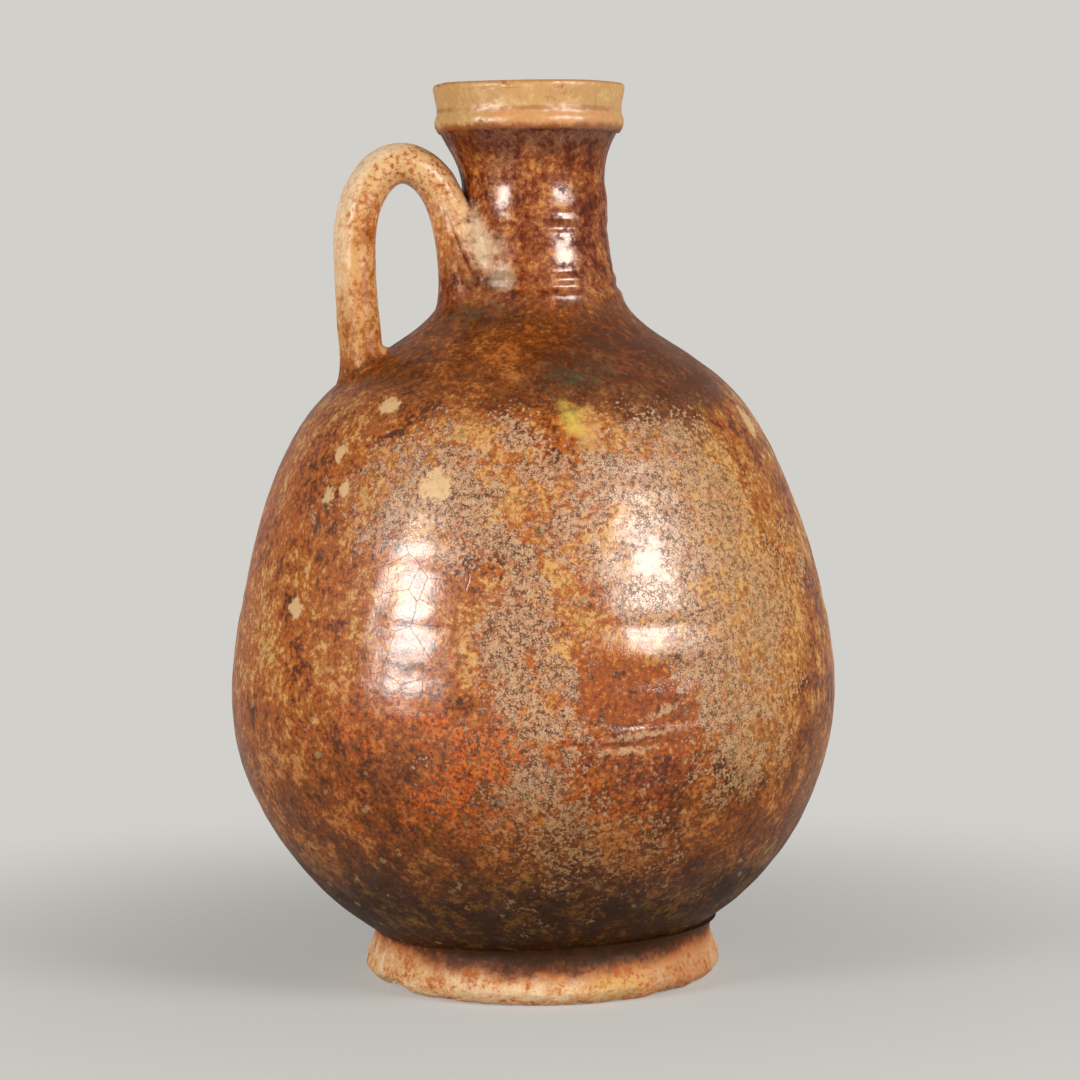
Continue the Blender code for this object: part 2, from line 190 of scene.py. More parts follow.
# Places of the glaze: turn in degrees, height, half turn, half height and, for some, the fall
SANDY_PLACES = (
    (-24, 0.171, 25, 0.024),
    (-11, 0.106, 11, 0.054),
    (20, 0.157, 30, 0.038),
    (26, 0.112, 18, 0.040),
)
# Painted highlights: pale streaks on the crests of the rings over the red patch
PAINTED_HIGHLIGHT_CRESTS = (
    (8, 0.0942, 10, 0.0017, -0.00018),
    (4, 0.0893, 6, 0.0013, -0.00012),
    (12, 0.1015, 4, 0.0018, -0.0006),
)
# Painted shade: dark lines in the hollows just above those crests
PAINTED_SHADE_HOLLOWS = ((4, 0.0966, 6, 0.0009, -0.00022), (4, 0.0915, 5, 0.0010))
FLAKES = (
    (-32.7, 0.1708, 4.4, 0.0058),
    (-60.5, 0.1806, 2.2, 0.0038),
    (-59.9, 0.1671, 2.2, 0.0034),
    (-55.5, 0.1690, 1.8, 0.0026),
    (-63.2, 0.1312, 2.6, 0.0042),
    (-51.7, 0.1955, 4.2, 0.0026),
    (60, 0.1881, 4.0, 0.0060),
)
POOLS = ((-42, 0.2345, 17, 0.004), (-46, 0.2240, 18, 0.004), (2, 0.2045, 13, 0.005))
GLOSSY_PLACES = (
    (-34, 0.138, 34, 0.070),
    (12, 0.138, 36, 0.075),
    (14, 0.246, 34, 0.030),
    (-38, 0.264, 16, 0.012),
    (0, 0.2895, 80, 0.016),
)

# The glaze's name in the file, and the size of the grains of its sandy patina
GLAZE_NAME = "Mottled brown glaze"
GRAIN = 0.00092

# The floor lies just under the standing face, so that the two don't share a plane
FLOOR_RADIUS = 4.0
FLOOR_THICKNESS = 0.01
FLOOR_GAP = 0.0002


def srgb(code):
    """The scene's linear colour for a six-figure screen colour."""
    channels = [int(code[i:i + 2], 16) / 255 for i in (0, 2, 4)]
    return tuple(c / 12.92 if c <= 0.04045 else ((c + 0.055) / 1.055) ** 2.4 for c in channels)


def size(name, description, default):
    """A length that a user may set."""
    return FloatProperty(
        name=name, description=description, default=default, min=0, precision=5, unit="LENGTH"
    )


def angle(name, description, degrees):
    """An angle that a user may set, given here in degrees."""
    return FloatProperty(
        name=name, description=description, default=math.radians(degrees), subtype="ANGLE"
    )


def number(name, description, default):
    """A number above nought that a user may set."""
    return FloatProperty(name=name, description=description, default=default, min=0)


def colour(name, description, code):
    """A colour that a user may set."""
    return FloatVectorProperty(
        name=name, description=description, default=srgb(code), size=3, min=0, max=1, subtype="COLOR"
    )


class JugSizes(bpy.types.PropertyGroup):
    """Sizes of the thrown wall, the foot, the collar and the handle."""

    waist_radius: size("Waist radius", "Outer radius where the body leaves the foot", 0.0566)
    foot_height: size("Foot height", "Height at which the body leaves the foot", 0.018)
    belly_radius: size("Belly radius", "Outer radius at the widest place", (BODY_HIGH.x - BODY_LOW.x) / 2)
    belly_height: size("Belly height", "Height of the widest place", 0.0965)
    shoulder_radius: size("Shoulder radius", "Outer radius where the shoulder is flattest", 0.066)
    shoulder_height: size("Shoulder height", "Height where the shoulder is flattest", 0.1999)
    neck_radius: size("Neck radius", "Outer radius of the neck", 0.0248)
    neck_height: size("Neck height", "Height of the narrowest place of the neck", 0.2599)
    flare_radius: size("Flare radius", "Outer radius of the neck under the collar", 0.0300)
    collar_base: size("Collar base", "Height at which the collar starts", 0.2835)
    rim_height: size("Rim height", "Height of the whole jug", RIM_HIGH.z)
    mouth_radius: size("Mouth radius", "Inner radius of the lip", 0.0260)
    body_wall: size("Body wall", "Thickness of the wall of the body", 0.0065)
    neck_wall: size("Neck wall", "Thickness of the wall of the neck", 0.0062)
    floor_thickness: size("Floor thickness", "Thickness of the floor", 0.0065)
    base_radius: size("Base radius", "Radius of the flat underside", 0.0470)
    base_recess: size("Base recess", "Height of the underside", BODY_LOW.z)
    body_seam: size("Body seam", "Height of the joint between the halves of the body", 0.125)
    neck_seam: size("Neck seam", "Height of the joint at the foot of the neck", 0.2289)
    foot_radius: size("Foot radius", "Outer radius of the foot ring", (FOOT_HIGH.x - FOOT_LOW.x) / 2)
    foot_bore: size("Foot bore", "Inner radius of the foot ring", 0.0485)
    foot_edge: size("Foot edge", "Outer radius of the face that the jug stands on", 0.0555)
    foot_shift: size("Foot shift", "How far the foot ring sits off the axis", (FOOT_HIGH.x + FOOT_LOW.x) / 2)
    neck_shift: size("Neck shift", "How far the neck leans off the axis", 0.0021)
    rim_shift: size("Rim shift", "How far the rim sits off the axis", 0.0005)
    strap_thickness: size("Strap thickness", "Thickness of the handle's strap", 0.0144)
    strap_width: size("Strap width", "Width of the handle's strap", HANDLE_HIGH.y - HANDLE_LOW.y)
    leg_reach: size("Leg reach", "How far out the outer leg of the handle stands", 0.0590)
    foot_reach: size("Leg foot reach", "How far out the outer leg meets the shoulder", 0.0568)
    crest_reach: size("Crest reach", "How far out the top of the handle lies", 0.0426)
    crest_height: size("Crest height", "Height of the middle of the strap at its top", 0.2738)
    spring_height: size("Spring height", "Height at which the arch springs from the leg", 0.2470)
    tail_height: size("Tail height", "Height at which the strap's middle ends in the neck", 0.2358)
    tail_reach: size("Tail reach", "How far out the strap's middle ends in the neck", 0.0232)
    lower_slope: angle("Lower slope", "Direction of the wall over the foot", 29)
    shoulder_slope: angle("Shoulder slope", "Direction of the wall on the shoulder", 138.3)
    flare_slope: angle("Flare slope", "Direction of the neck under the collar", 61)


class JugColours(bpy.types.PropertyGroup):
    """Colours of the glaze, the patina on it, the bare clay and the ground."""

    umber: colour("Umber", "Darkest flecks of the glaze", "4e220a")
    russet: colour("Russet", "Red-brown of the glaze", "86400f")
    amber: colour("Amber", "Orange-brown of the glaze", "ac5a1a")
    tan: colour("Tan", "Light tan of the glaze", "be7c38")
    pale_tan: colour("Pale tan", "Palest mottles of the glaze", "cf9c5c")
    honey: colour("Honey", "Deep golden brown at the right side", "a05e20")
    gold: colour("Gold", "Golden tan at the right side", "b0742e")
    straw: colour("Straw", "Pale straw of the collar and the right side", "cca46a")
    sand: colour("Sand", "Pale grains of the sandy patina", "c89e74")
    sand_grey: colour("Grey sand", "Cooler grains of the sandy patina", "b9997c")
    sand_rose: colour("Rose sand", "Pinkish grains of the sandy patina", "c08560")
    gap: colour("Gap", "Dark gaps between the grains", "4a2008")
    brick: colour("Brick", "Glossy red-brown patch", "9c4710")
    flame: colour("Flame", "Vivid orange at the lower left", "cc5210")
    ember: colour("Ember", "Brick-orange flecks", "a44c10")
    moss: colour("Moss", "Olive of the lower body", "52320a")
    # Peat and pitch: the glaze low on the body, darkened there partly as painted shade
    peat: colour("Peat", "Dark brown low on the body", "2a1402")
    pitch: colour("Pitch", "Darkest glaze low on the body", "1e0d02")
    olive: colour("Olive", "Lightest olive low on the body", "6a4614")
    loam: colour("Loam", "Brown of the shoulder", "5c300c")
    verdigris: colour("Verdigris", "Green-black flecks", "2c4634")
    # The flake colour also paints highlight flecks on the top of the handle
    flake: colour("Flake", "Pale flakes", "d8b27e")
    lichen: colour("Lichen", "Yellow-green drip", "d2b64e")
    maroon: colour("Maroon", "Red-brown of the neck", "6c2a0e")
    spark: colour("Spark", "Saturated orange specks at the lower left", "dc6818")
    dust: colour("Dust", "Olive-tan grains low on the body", "946a3c")
    plum: colour("Plum", "Dark curdled glaze on the neck", "451a0a")
    rust: colour("Rust", "Middle brown of the neck", "8a461a")
    rose: colour("Rose", "Pinkish tan of the neck", "a05c30")
    strap_tan: colour("Strap tan", "Tan glaze of the handle", "cc985e")
    strap_brown: colour("Strap brown", "Orange-brown glaze of the handle", "b0662e")
    ochre: colour("Ochre", "Thin ochre glaze of the collar", "c09058")
    blush: colour("Blush", "Orange blush of the collar's bead", "c87a44")
    biscuit: colour("Biscuit", "Bare clay of the foot", "d8a46c")
    # Cream also paints the highlight along the handle's outer side and on the ridge of the clay at the neck
    cream: colour("Cream", "Pale patches of the bare clay", "e8c8a0")
    peach: colour("Peach", "Pinkish patches of the bare clay", "ca8050")
    ground: colour("Ground", "Colour of the floor and the backdrop", "d2d0cb")


class JugStudio(bpy.types.PropertyGroup):
    """The camera and the lamps."""

    view_turn: angle("View turn", "How far the camera stands towards the handle's side", 12)
    view_distance: size("View distance", "Distance of the camera from the axis", 1.1373)
    view_height: size("View height", "Height of the camera", 0.2417)
    view_sideways: size("View sideways", "How far the camera stands right of the axis", 0.0028)
    view_pitch: angle("View pitch", "How far the camera looks down", 4.7515)
    view_roll: angle("View roll", "How far the camera is tilted about its own axis", 0.5632)
    focal_length: number("Focal length", "Millimetres on a 36 mm wide sensor", 112.7)
    left_width: size("Left width", "Width of the left softbox", 0.36)
    right_width: size("Right width", "Width of the right softbox", 0.50)
    lamp_height: size("Lamp height", "Height of each softbox", 0.44)
    lamp_distance: size("Lamp distance", "Distance of each softbox from the jug", 1.25)
    lamp_turn: angle("Lamp turn", "How far each softbox stands to the side of the camera", 48)
    left_rise: angle("Left rise", "Elevation of the left softbox seen from the jug", 14)
    right_rise: angle("Right rise", "Elevation of the right softbox seen from the jug", 22.5)
    lamp_power: number("Lamp power", "Power of the left softbox in watts", 10.4)
    right_gain: number("Right gain", "Power of the right softbox in shares of the left one's", 1.22)
    fill: number("Fill", "Strength of the soft light from all round", 0.24)


def direction(slope):
    """The unit vector (radius, height) that points along a slope."""
    return np.array([np.cos(slope), np.sin(slope)])


def curve(start, start_slope, end, end_slope, shares, steps=CURVE_STEPS):
    """Cubic Bezier curve: its middle points lie a share of the chord along each end's slope."""
    start = np.asarray(start, float)
    end = np.asarray(end, float)
    chord = np.linalg.norm(end - start)
    leave = start + direction(start_slope) * chord * shares[0]
    arrive = end - direction(end_slope) * chord * shares[1]
    t = np.linspace(0, 1, steps + 1)[:, None]
    back = 1 - t
    return back**3 * start + 3 * back**2 * t * leave + 3 * back * t**2 * arrive + t**3 * end


def smooth(t):
    """Smooth step: 3 t squared minus 2 t cubed, with t held between 0 and 1."""
    t = np.clip(t, 0, 1)
    return t * t * (3 - 2 * t)


def lengths_along(points):
    """Distance run along a line of points, from its start to each point."""
    return np.concatenate([[0], np.cumsum(np.linalg.norm(np.diff(points, axis=0), axis=1))])


def even_points(points, count):
    """A line of points taken again at equal steps of its length."""
    run = lengths_along(points)
    wanted = np.linspace(0, run[-1], count)
    return np.stack([np.interp(wanted, run, points[:, i]) for i in range(points.shape[1])], axis=1)


def ripple(points, wave, seed):
    """Smooth random relief of about -1 to 1: a sum of sine waves that run in random directions."""
    rng = np.random.default_rng(seed)
    ways = rng.normal(size=(RIPPLE_WAVES, 3))
    ways /= np.linalg.norm(ways, axis=1)[:, None]
    ways *= 2 * math.pi / wave * rng.uniform(0.7, 1.4, RIPPLE_WAVES)[:, None]
    phases = rng.uniform(0, 2 * math.pi, RIPPLE_WAVES)
    return np.sin(points @ ways.T + phases).sum(axis=-1) * math.sqrt(1 / RIPPLE_WAVES)


def swelling(points, swells):
    """Sum of ripples, each given by its wave length, rise and seed."""
    return sum(rise * ripple(points, wave, seed) for wave, rise, seed in swells)


def hump(degrees, middle, spread, power=2):
    """1 at a middle angle, and exp(-|offset / spread| ** power) at an offset from it, in degrees."""
    offset = (degrees - middle + 180) % 360 - 180
    return np.exp(-((offset / spread) ** power))


class ThrownWall:
    """The wall of body and neck as a function of turn and height."""

    def __init__(self, sizes):
        self.sizes = sizes
        waist = (sizes.waist_radius, sizes.foot_height)
        belly = (sizes.belly_radius, sizes.belly_height)
        shoulder = (sizes.shoulder_radius, sizes.shoulder_height)
        neck = (sizes.neck_radius, sizes.neck_height)
        flare = (sizes.flare_radius, sizes.collar_base)
        stretches = [
            curve(waist, sizes.lower_slope, belly, UPRIGHT, LOWER_SHARES),
            curve(belly, UPRIGHT, shoulder, sizes.shoulder_slope, UPPER_SHARES)[1:],
            curve(shoulder, sizes.shoulder_slope, neck, UPRIGHT, COVE_SHARES)[1:],
            curve(neck, UPRIGHT, flare, sizes.flare_slope, FLARE_SHARES)[1:],
        ]
        self.outline = np.vstack(stretches)
        along = np.gradient(self.outline, axis=0)
        along /= np.linalg.norm(along, axis=1)[:, None]
        self.normals = np.stack([along[:, 1], -along[:, 0]], axis=1)
        self.run = lengths_along(self.outline)
        self.thickness = np.interp(
            self.outline[:, 1],
            [sizes.shoulder_height, sizes.neck_height],
            [sizes.body_wall, sizes.neck_wall],
        )

    def at(self, height, values):
        """One of the outline's columns of values, read at heights."""
        return np.interp(height, self.outline[:, 1], values)

    def heights(self, low, high, count):
        """Heights between two joints, at equal steps along the outline."""
        ends = self.at(np.array([low, high]), self.run)
        wanted = np.linspace(ends[0], ends[1], count)
        found = np.interp(wanted, self.run, self.outline[:, 1])
        found[0] = low
        found[-1] = high
        return found

    def climb(self, height, distance):
        """The height that lies a distance up the slope from another."""
        return np.interp(self.at(height, self.run) + distance, self.run, self.outline[:, 1])

    def centre(self, height):
        """Sideways place (x, y) of the jug's axis: smooth steps from body to neck to rim, and sways."""
        s = self.sizes
        to_neck = smooth((height - s.shoulder_height) / (s.neck_height - s.shoulder_height))
        to_rim = smooth((height - s.neck_height) / (s.collar_base - s.neck_height))
        lean = s.neck_shift * to_neck + (s.rim_shift - s.neck_shift) * to_rim
        sway = sum(shift * np.exp(-(((height - h) / reach) ** 2)) for h, reach, shift in SWAYS)
        view = bpy.context.scene.jug_studio.view_turn
        return lean + sway * math.cos(view), -sway * math.sin(view)

    def placed(self, turn, radius, height):
        """Points at a turn, a radius and a height about the jug's own axis."""
        x, y = self.centre(height)
        return np.stack([x + radius * np.sin(turn), y - radius * np.cos(turn), height + 0 * turn], -1)

    def relief(self, turn, height, points):
        """Rise of the surface: rings as Gaussian bands, a faint throwing spiral and slow swells."""
        rise = swelling(points, WALL_SWELLS) - WALL_EASE
        for level, reach, lift, middle, spread in RINGS:
            band = np.exp(-(((height - level) / reach) ** 2))
            rise += lift * band * hump(np.degrees(turn), middle, spread)
        spiral = np.sin(2 * math.pi * height / THROWING_PITCH + turn)
        return rise + THROWING_RISE * spiral * (0.6 + 0.4 * ripple(points, 0.06, 11))

    def face(self, turn, height, lift=0.0):
        """Points on the outer face, lifted off it: the outline moved along its normal by the relief."""
        turn, height = np.broadcast_arrays(turn, height)
        radius = self.at(height, self.outline[:, 0])
        rise = lift + self.relief(turn, height, self.placed(turn, radius, height))
        rise = np.minimum(rise, self.sizes.belly_radius - radius)
        out = self.at(height, self.normals[:, 0])
        up = self.at(height, self.normals[:, 1])
        inset = smooth((height - self.sizes.foot_height) / 0.004)
        return self.placed(turn, radius + rise * out, height + rise * up * inset)

    def lining(self, turn, height):
        """Points on the inner face, a wall's thickness behind the outer one, with faint rings."""
        turn, height = np.broadcast_arrays(turn, height)
        rings = THROWING_RISE * np.sin(2 * math.pi * height / THROWING_PITCH)
        deep = self.at(height, self.thickness) + rings
        radius = self.at(height, self.outline[:, 0]) - deep * self.at(height, self.normals[:, 0])
        return self.placed(turn, radius, height - deep * self.at(height, self.normals[:, 1]))


def all_round(columns=COLUMNS):
    """Turns of the columns of a mesh that closes round the axis."""
    return np.linspace(-math.pi, math.pi, columns, endpoint=False)


def closed_mesh(name, rings, poles):
    """A closed mesh from a grid (ring, place on the ring): the rings close on themselves.

    With poles, the first and the last ring shrink to their middles, and else the last ring joins the
    first. The faces are turned round where the volume, a sum of signed tetrahedra, is negative.
    """
    count, columns = rings.shape[:2]
    index = np.arange(count * columns).reshape(count, columns)
    rows = index if poles else np.vstack([index, index[:1]])
    ahead = np.roll(rows, -1, axis=1)
    quads = np.stack([rows[:-1], ahead[:-1], ahead[1:], rows[1:]], axis=-1).reshape(-1, 4)
    points = rings.reshape(-1, 3)
    if poles:
        points = np.vstack([points, rings[0].mean(axis=0), rings[-1].mean(axis=0)])
        first, last = len(points) - 2, len(points) - 1
        foot = np.stack([np.full(columns, first), ahead[0], index[0]], axis=-1)
        top = np.stack([np.full(columns, last), index[-1], ahead[-1]], axis=-1)
        fans = np.vstack([foot, top])
    else:
        fans = np.empty((0, 3), int)
    halves = np.vstack([quads[:, [0, 1, 2]], quads[:, [0, 2, 3]], fans])
    a, b, c = (points[halves[:, i]] for i in range(3))
    if np.einsum("ij,ij->i", a, np.cross(b, c)).sum() < 0:
        quads, fans = quads[:, ::-1], fans[:, ::-1]
    mesh = bpy.data.meshes.new(name)
    mesh.from_pydata(points.tolist(), [], quads.tolist() + fans.tolist())
    mesh.shade_smooth()
    mesh.set_sharp_from_angle(angle=SHARP_ANGLE)
    return mesh


def built(name, rings, node, poles=False, finish=None, strap=None):
    """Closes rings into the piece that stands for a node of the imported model.

    strap tells for each ring how much of the strap's own glaze it shows; rings past its end show as
    much as its last one. Without a finish the piece gets the jug's glaze.
    """
    mesh = closed_mesh(name, rings, poles)
    if strap is not None:
        shares = np.full(len(mesh.vertices), strap[-1], np.float32)
        shares[:len(strap) * rings.shape[1]] = np.repeat(strap, rings.shape[1])
        mesh.attributes.new("strap", "FLOAT", "POINT").data.foreach_set("value", shares)
    piece = bpy.data.objects.new(name, mesh)
    bpy.context.scene.collection.objects.link(piece)
    mesh.materials.append(finish or glaze_material())
    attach(piece, "root")
    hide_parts(node)
    return {"FINISHED"}


def across(start, end, count):
    """Rings that run straight from one ring to another, both left out."""
    share = np.linspace(0, 1, count + 2)[1:-1, None, None]
    return start * (1 - share) + end * share


def wall_faces(wall, low, high, rows):
    """Rings of a thrown wall: up its outer face, over its upper edge and down its lining."""
    turn = all_round()
    outside = wall.face(turn, wall.heights(low, high, rows)[:, None])
    inside = wall.lining(turn, wall.heights(low, high, LINING_ROWS)[::-1, None])
    return [outside, across(outside[-1], inside[0], EDGE_ROWS), inside]


def shell_rings(wall, low, high):
    """Rings of a thrown shell that is open at both ends, closed under its lower edge."""
    faces = wall_faces(wall, low, high, SHELL_ROWS)
    return np.concatenate([*faces, across(faces[-1][-1], faces[0][0], EDGE_ROWS)])


def lower_body_rings(wall):
    """Rings of the lower body, from the middle of its underside round its wall to its floor."""
    s = wall.sizes
    turn = all_round()
    share = np.linspace(0.02, 1, 24)[:, None]
    marks = TURNING_RISE * np.sin(share * s.base_radius * 2 * math.pi / TURNING_PITCH)
    flat = wall.placed(turn, s.base_radius * share, s.base_recess + marks + 0 * turn)
    faces = wall_faces(wall, s.foot_height, s.body_seam, BODY_ROWS)
    seat = across(flat[-1], faces[0][0], 5)
    inner_radius = wall.outline[:, 0] - wall.thickness * wall.normals[:, 0]
    corner = (wall.at(s.foot_height, inner_radius), faces[-1][-1, :, 2].mean())
    floor = (0, s.base_recess + s.floor_thickness)
    bowl = curve(corner, math.pi + s.lower_slope, floor, math.pi, FLOOR_SHARES, 20)[1:-1]
    bottom = wall.placed(turn, bowl[:, :1], bowl[:, 1:] + 0 * turn)
    return np.concatenate([flat, seat, *faces, bottom])


def section(start, *stretches):
    """A closed section (radius, height) from its start along stretches, each run on from the last.

    A straight stretch is (end, steps), and a curved one has the slopes at its two ends in degrees and
    their shares as well.
    """
    points = [np.array([start])]
    for end, steps, *bend in stretches:
        begin = points[-1][-1]
        if bend:
            leaving, arriving, shares = bend
            run = curve(begin, math.radians(leaving), end, math.radians(arriving), shares, steps)
        else:
            run = np.linspace(begin, end, steps + 1)
        points.append(run[1:])
    return np.vstack(points)[:-1]


def foot_section(sizes, wall):
    """The foot's section: bore, standing face, rounded edge, side, fillet, lip and seat."""
    seat = (sizes.foot_bore, sizes.base_recess + FOOT_SEAT)
    lip_height = sizes.foot_height + FOOT_OVERRUN
    lip = float(wall.at(lip_height, wall.outline[:, 0])) - FOOT_LIP_GAP
    return section(
        seat,
        ((sizes.foot_bore, 0), 13),
        ((sizes.foot_edge, 0), 11),
        ((sizes.foot_radius, FOOT_WIDEST), 16, 22, 82, (0.45, 0.22)),
        ((sizes.waist_radius + 0.0006, sizes.foot_height - 0.003), 26, 90, 96, (0.35, 0.30)),
        ((lip, lip_height), 14, 96, 34, (0.45, 0.35)),
        ((lip - 0.0030, lip_height + 0.0004), 1),
        (seat, 5),
    )


def foot_rings(sizes, wall):
    """Rings of the foot: its section set off the axis, with an uneven side and a chipped edge.

    A chip pulls the edge in and up by its depth, fading with the height above the standing face.
    """
    turn = all_round(FOOT_COLUMNS)
    points = foot_section(sizes, wall)
    radius = points[:, :1] + 0 * turn
    height = points[:, 1:] + 0 * turn
    outer = smooth((radius - sizes.foot_bore - 0.002) / 0.006)
    low = 1 - smooth(height / 0.0075)
    free = smooth(height / 0.001) * (1 - smooth((height - sizes.foot_height + 0.002) / 0.003))
    points = np.stack([radius * np.sin(turn), -radius * np.cos(turn), height], -1)
    chips = sum(depth * hump(np.degrees(turn), middle, spread, 4) for middle, spread, depth in FOOT_CHIPS)
    rough = 1 + swelling(points, CHIP_SWELLS)
    nibbled = FOOT_NIBBLES * np.maximum(ripple(points, 0.0045, 23), 0)
    bite = (chips * rough + nibbled) * outer * low
    radius = radius - bite * 0.9 + (swelling(points, FOOT_SWELLS) - FOOT_EASE) * outer * free
    radius = np.where(height + bite * 1.1 > sizes.foot_height, radius, np.minimum(radius, sizes.foot_radius))
    height = np.maximum(height + bite * 1.1, 0)
    return np.stack([sizes.foot_shift + radius * np.sin(turn), -radius * np.cos(turn), height], -1)


def collar_section(sizes, wall):
    """The collar's section: bead, groove, band, lip, rim, roll, throat and the face of the joint."""
    out = sizes.flare_radius
    base = sizes.collar_base
    top = sizes.rim_height
    throat = wall.outline[-1] - wall.normals[-1] * wall.thickness[-1]
    return section(
        (out, base),
        ((out + 0.0003, base), 1),
        ((out + 0.0019, base + 0.0036), 12, 58, 90, (0.4, 0.5)),
        ((out + 0.0011, base + 0.0071), 14, 90, 90, (0.45, 0.45)),
        ((out + 0.0023, base + 0.0148), 18, 90, 84, (0.4, 0.35)),
        ((out + 0.0004, top), 12, 90, 180, (0.5, 0.5)),
        ((sizes.mouth_radius + 0.0014, top - 0.0001), 7),
        ((sizes.mouth_radius, top - 0.0018), 8, 180, -90, (0.5, 0.5)),
        (throat, 15),
        ((out, base), 5),
    )


def collar_rings(sizes, wall):
    """Rings of the collar: its section about the rim's axis, slightly uneven and nicked at the lip."""
    turn = all_round()
    points = collar_section(sizes, wall)
    radius = points[:, :1] + 0 * turn
    height = points[:, 1:] + 0 * turn
    free = smooth((height - sizes.collar_base) / 0.002)
    outer = smooth((radius - sizes.mouth_radius) / 0.003)
    lip = smooth((height - sizes.rim_height + 0.003) / 0.002)
    points = wall.placed(turn, radius, height)
    nick = LIP_NICKS * np.maximum(ripple(points, 0.010, 34) - 0.9, 0)
    drop = nick + LIP_WAVE * (1 + ripple(points, 0.03, 35))
    radius = radius + (swelling(points, COLLAR_SWELLS) - COLLAR_EASE) * free * outer
    return wall.placed(turn, radius, height - drop * lip)


class Strap:
    """The handle's pulled strap: oval sections square to a path (reach, height) of arcs."""

    def __init__(self, sizes, wall):
        self.sizes = sizes
        shoulder = wall.outline[wall.outline[:, 1] > sizes.belly_height]
        self.landing = float(np.interp(-sizes.foot_reach, -shoulder[:, 0], shoulder[:, 1]))
        foot = (sizes.foot_reach, self.landing - LEG_SUNK)
        spring = (sizes.leg_reach, sizes.spring_height)
        leg = curve(foot, UPRIGHT, spring, UPRIGHT, LEG_SHARES)
        sweep = np.linspace(0, UPRIGHT, CURVE_STEPS)
        quarter = np.stack([np.cos(sweep), np.sin(sweep)], axis=1)
        rising, falling = (
            (sizes.crest_reach, height) + quarter * (reach - sizes.crest_reach, sizes.crest_height - height)
            for reach, height in (spring, (sizes.tail_reach, sizes.tail_height))
        )
        path = even_points(np.vstack([leg[:-1], rising[:-1], falling[::-1]]), PATH_POINTS)
        kernel = np.hanning(2 * PATH_BLUR + 1)
        before = 2 * path[0] - path[PATH_BLUR:0:-1]
        after = 2 * path[-1] - path[-2:-PATH_BLUR - 2:-1]
        padded = np.vstack([before, path, after])
        smoothed = [np.convolve(padded[:, i], kernel / kernel.sum(), mode="valid") for i in (0, 1)]
        self.path = np.stack(smoothed, axis=1)
        self.run = lengths_along(self.path)
        along = np.gradient(self.path, axis=0)
        self.along = along / np.linalg.norm(along, axis=1)[:, None]
        self.sides = np.linspace(0, 2 * math.pi, STRAP_SIDES, endpoint=False)

    def at(self, run):
        """Reach and height, and the path's unit step in each, at distances along the path."""
        return [np.interp(run, self.run, values) for values in (*self.path.T, *self.along.T)]

    def rings(self, run, swell=1.0):
        """Rings at distances along the path: out is half a thickness, aside half a width."""
        run = np.reshape(run, (-1, 1))
        reach, height, reach_step, height_step = self.at(run)
        half = self.sizes.strap_thickness / 2
        taper = np.interp(run / self.run[-1], *STRAP_TAPER)
        ribs = 1 + 0.018 * np.cos(3 * self.sides + 0.6) + 0.012 * np.cos(5 * self.sides - 0.8)
        out = half * taper * np.cos(self.sides) * ribs
        aside = self.sizes.strap_width / 2 * RIB_ROOM * taper * np.sin(self.sides)
        points = np.stack([-(reach + out * height_step), aside, height - out * reach_step], -1)
        middle = np.stack([-reach, 0 * reach, height], -1)
        factor = swell + (swelling(points, STRAP_SWELLS) - STRAP_EASE) / half
        return middle + (points - middle) * factor[..., None]

    def heading(self, run):
        """Unit direction of the path in space."""
        reach_step, height_step = self.at(run)[2:]
        return np.array([-reach_step, 0, height_step])

    def run_at(self, height, rising):
        """Distance along the path at which it passes a height, on its way up or down."""
        top = int(self.path[:, 1].argmax())
        if rising:
            return float(np.interp(height, self.path[:top, 1], self.run[:top]))
        return float(np.interp(-height, -self.path[top:, 1], self.run[top:]))


def footprint(wall, height, rise, aside):
    """Where a wad's edge lies on the wall, as a function (turn, height) of the wad's scale.

    rise and aside are the edge's distances up the slope and round the wall from the handle's turn.
    """
    def at_scale(scale):
        level = wall.climb(height, rise * scale)
        return HANDLE_TURN + aside * scale / wall.at(level, wall.outline[:, 0]), level

    return at_scale


def root_rings(wall, ring, heading, print_at, fullness, core, ridge=0.0):
    """Clay that flows from the strap's end ring to its footprint: Hermite curves, tangent to both.

    The step between two scales of the footprint is the direction in which the clay runs out along the
    wall. The core's rings, which run back inside the strap from the wall to its end, close the clay.
    A ridge lifts the middle of the flow away from the jug's axis.
    """
    landing = wall.face(*print_at(1.0), -WAD_SINK)
    outward = wall.face(*print_at(1.06), -WAD_SINK) - landing
    outward /= np.linalg.norm(outward, axis=1)[:, None]
    gap = np.linalg.norm(landing - ring, axis=1)[:, None]
    t = (np.linspace(0, 1, ROOT_ROWS) ** 1.15)[:, None, None]
    flow = (2 * t**3 - 3 * t**2 + 1) * ring + (t**3 - 2 * t**2 + t) * (heading * gap * fullness[0])
    flow += (3 * t**2 - 2 * t**3) * landing + (t**3 - t**2) * (outward * gap * fullness[1])
    away = landing * (1, 1, 0)
    away /= np.linalg.norm(away, axis=1)[:, None]
    flow += np.sin(math.pi * t) ** 2 * away * np.reshape(ridge, (-1, 1))
    closing = [wall.face(*print_at(scale), -depth)[None] for scale, depth in WAD_CLOSING]
    return np.concatenate([flow, *closing, core])


def fading(start, length):
    """How much of the strap's glaze a wad's rings show: 1 up to a start, then 0 after a length."""
    return 1 - smooth((np.linspace(0, 1, ROOT_ROWS) - start) / length)


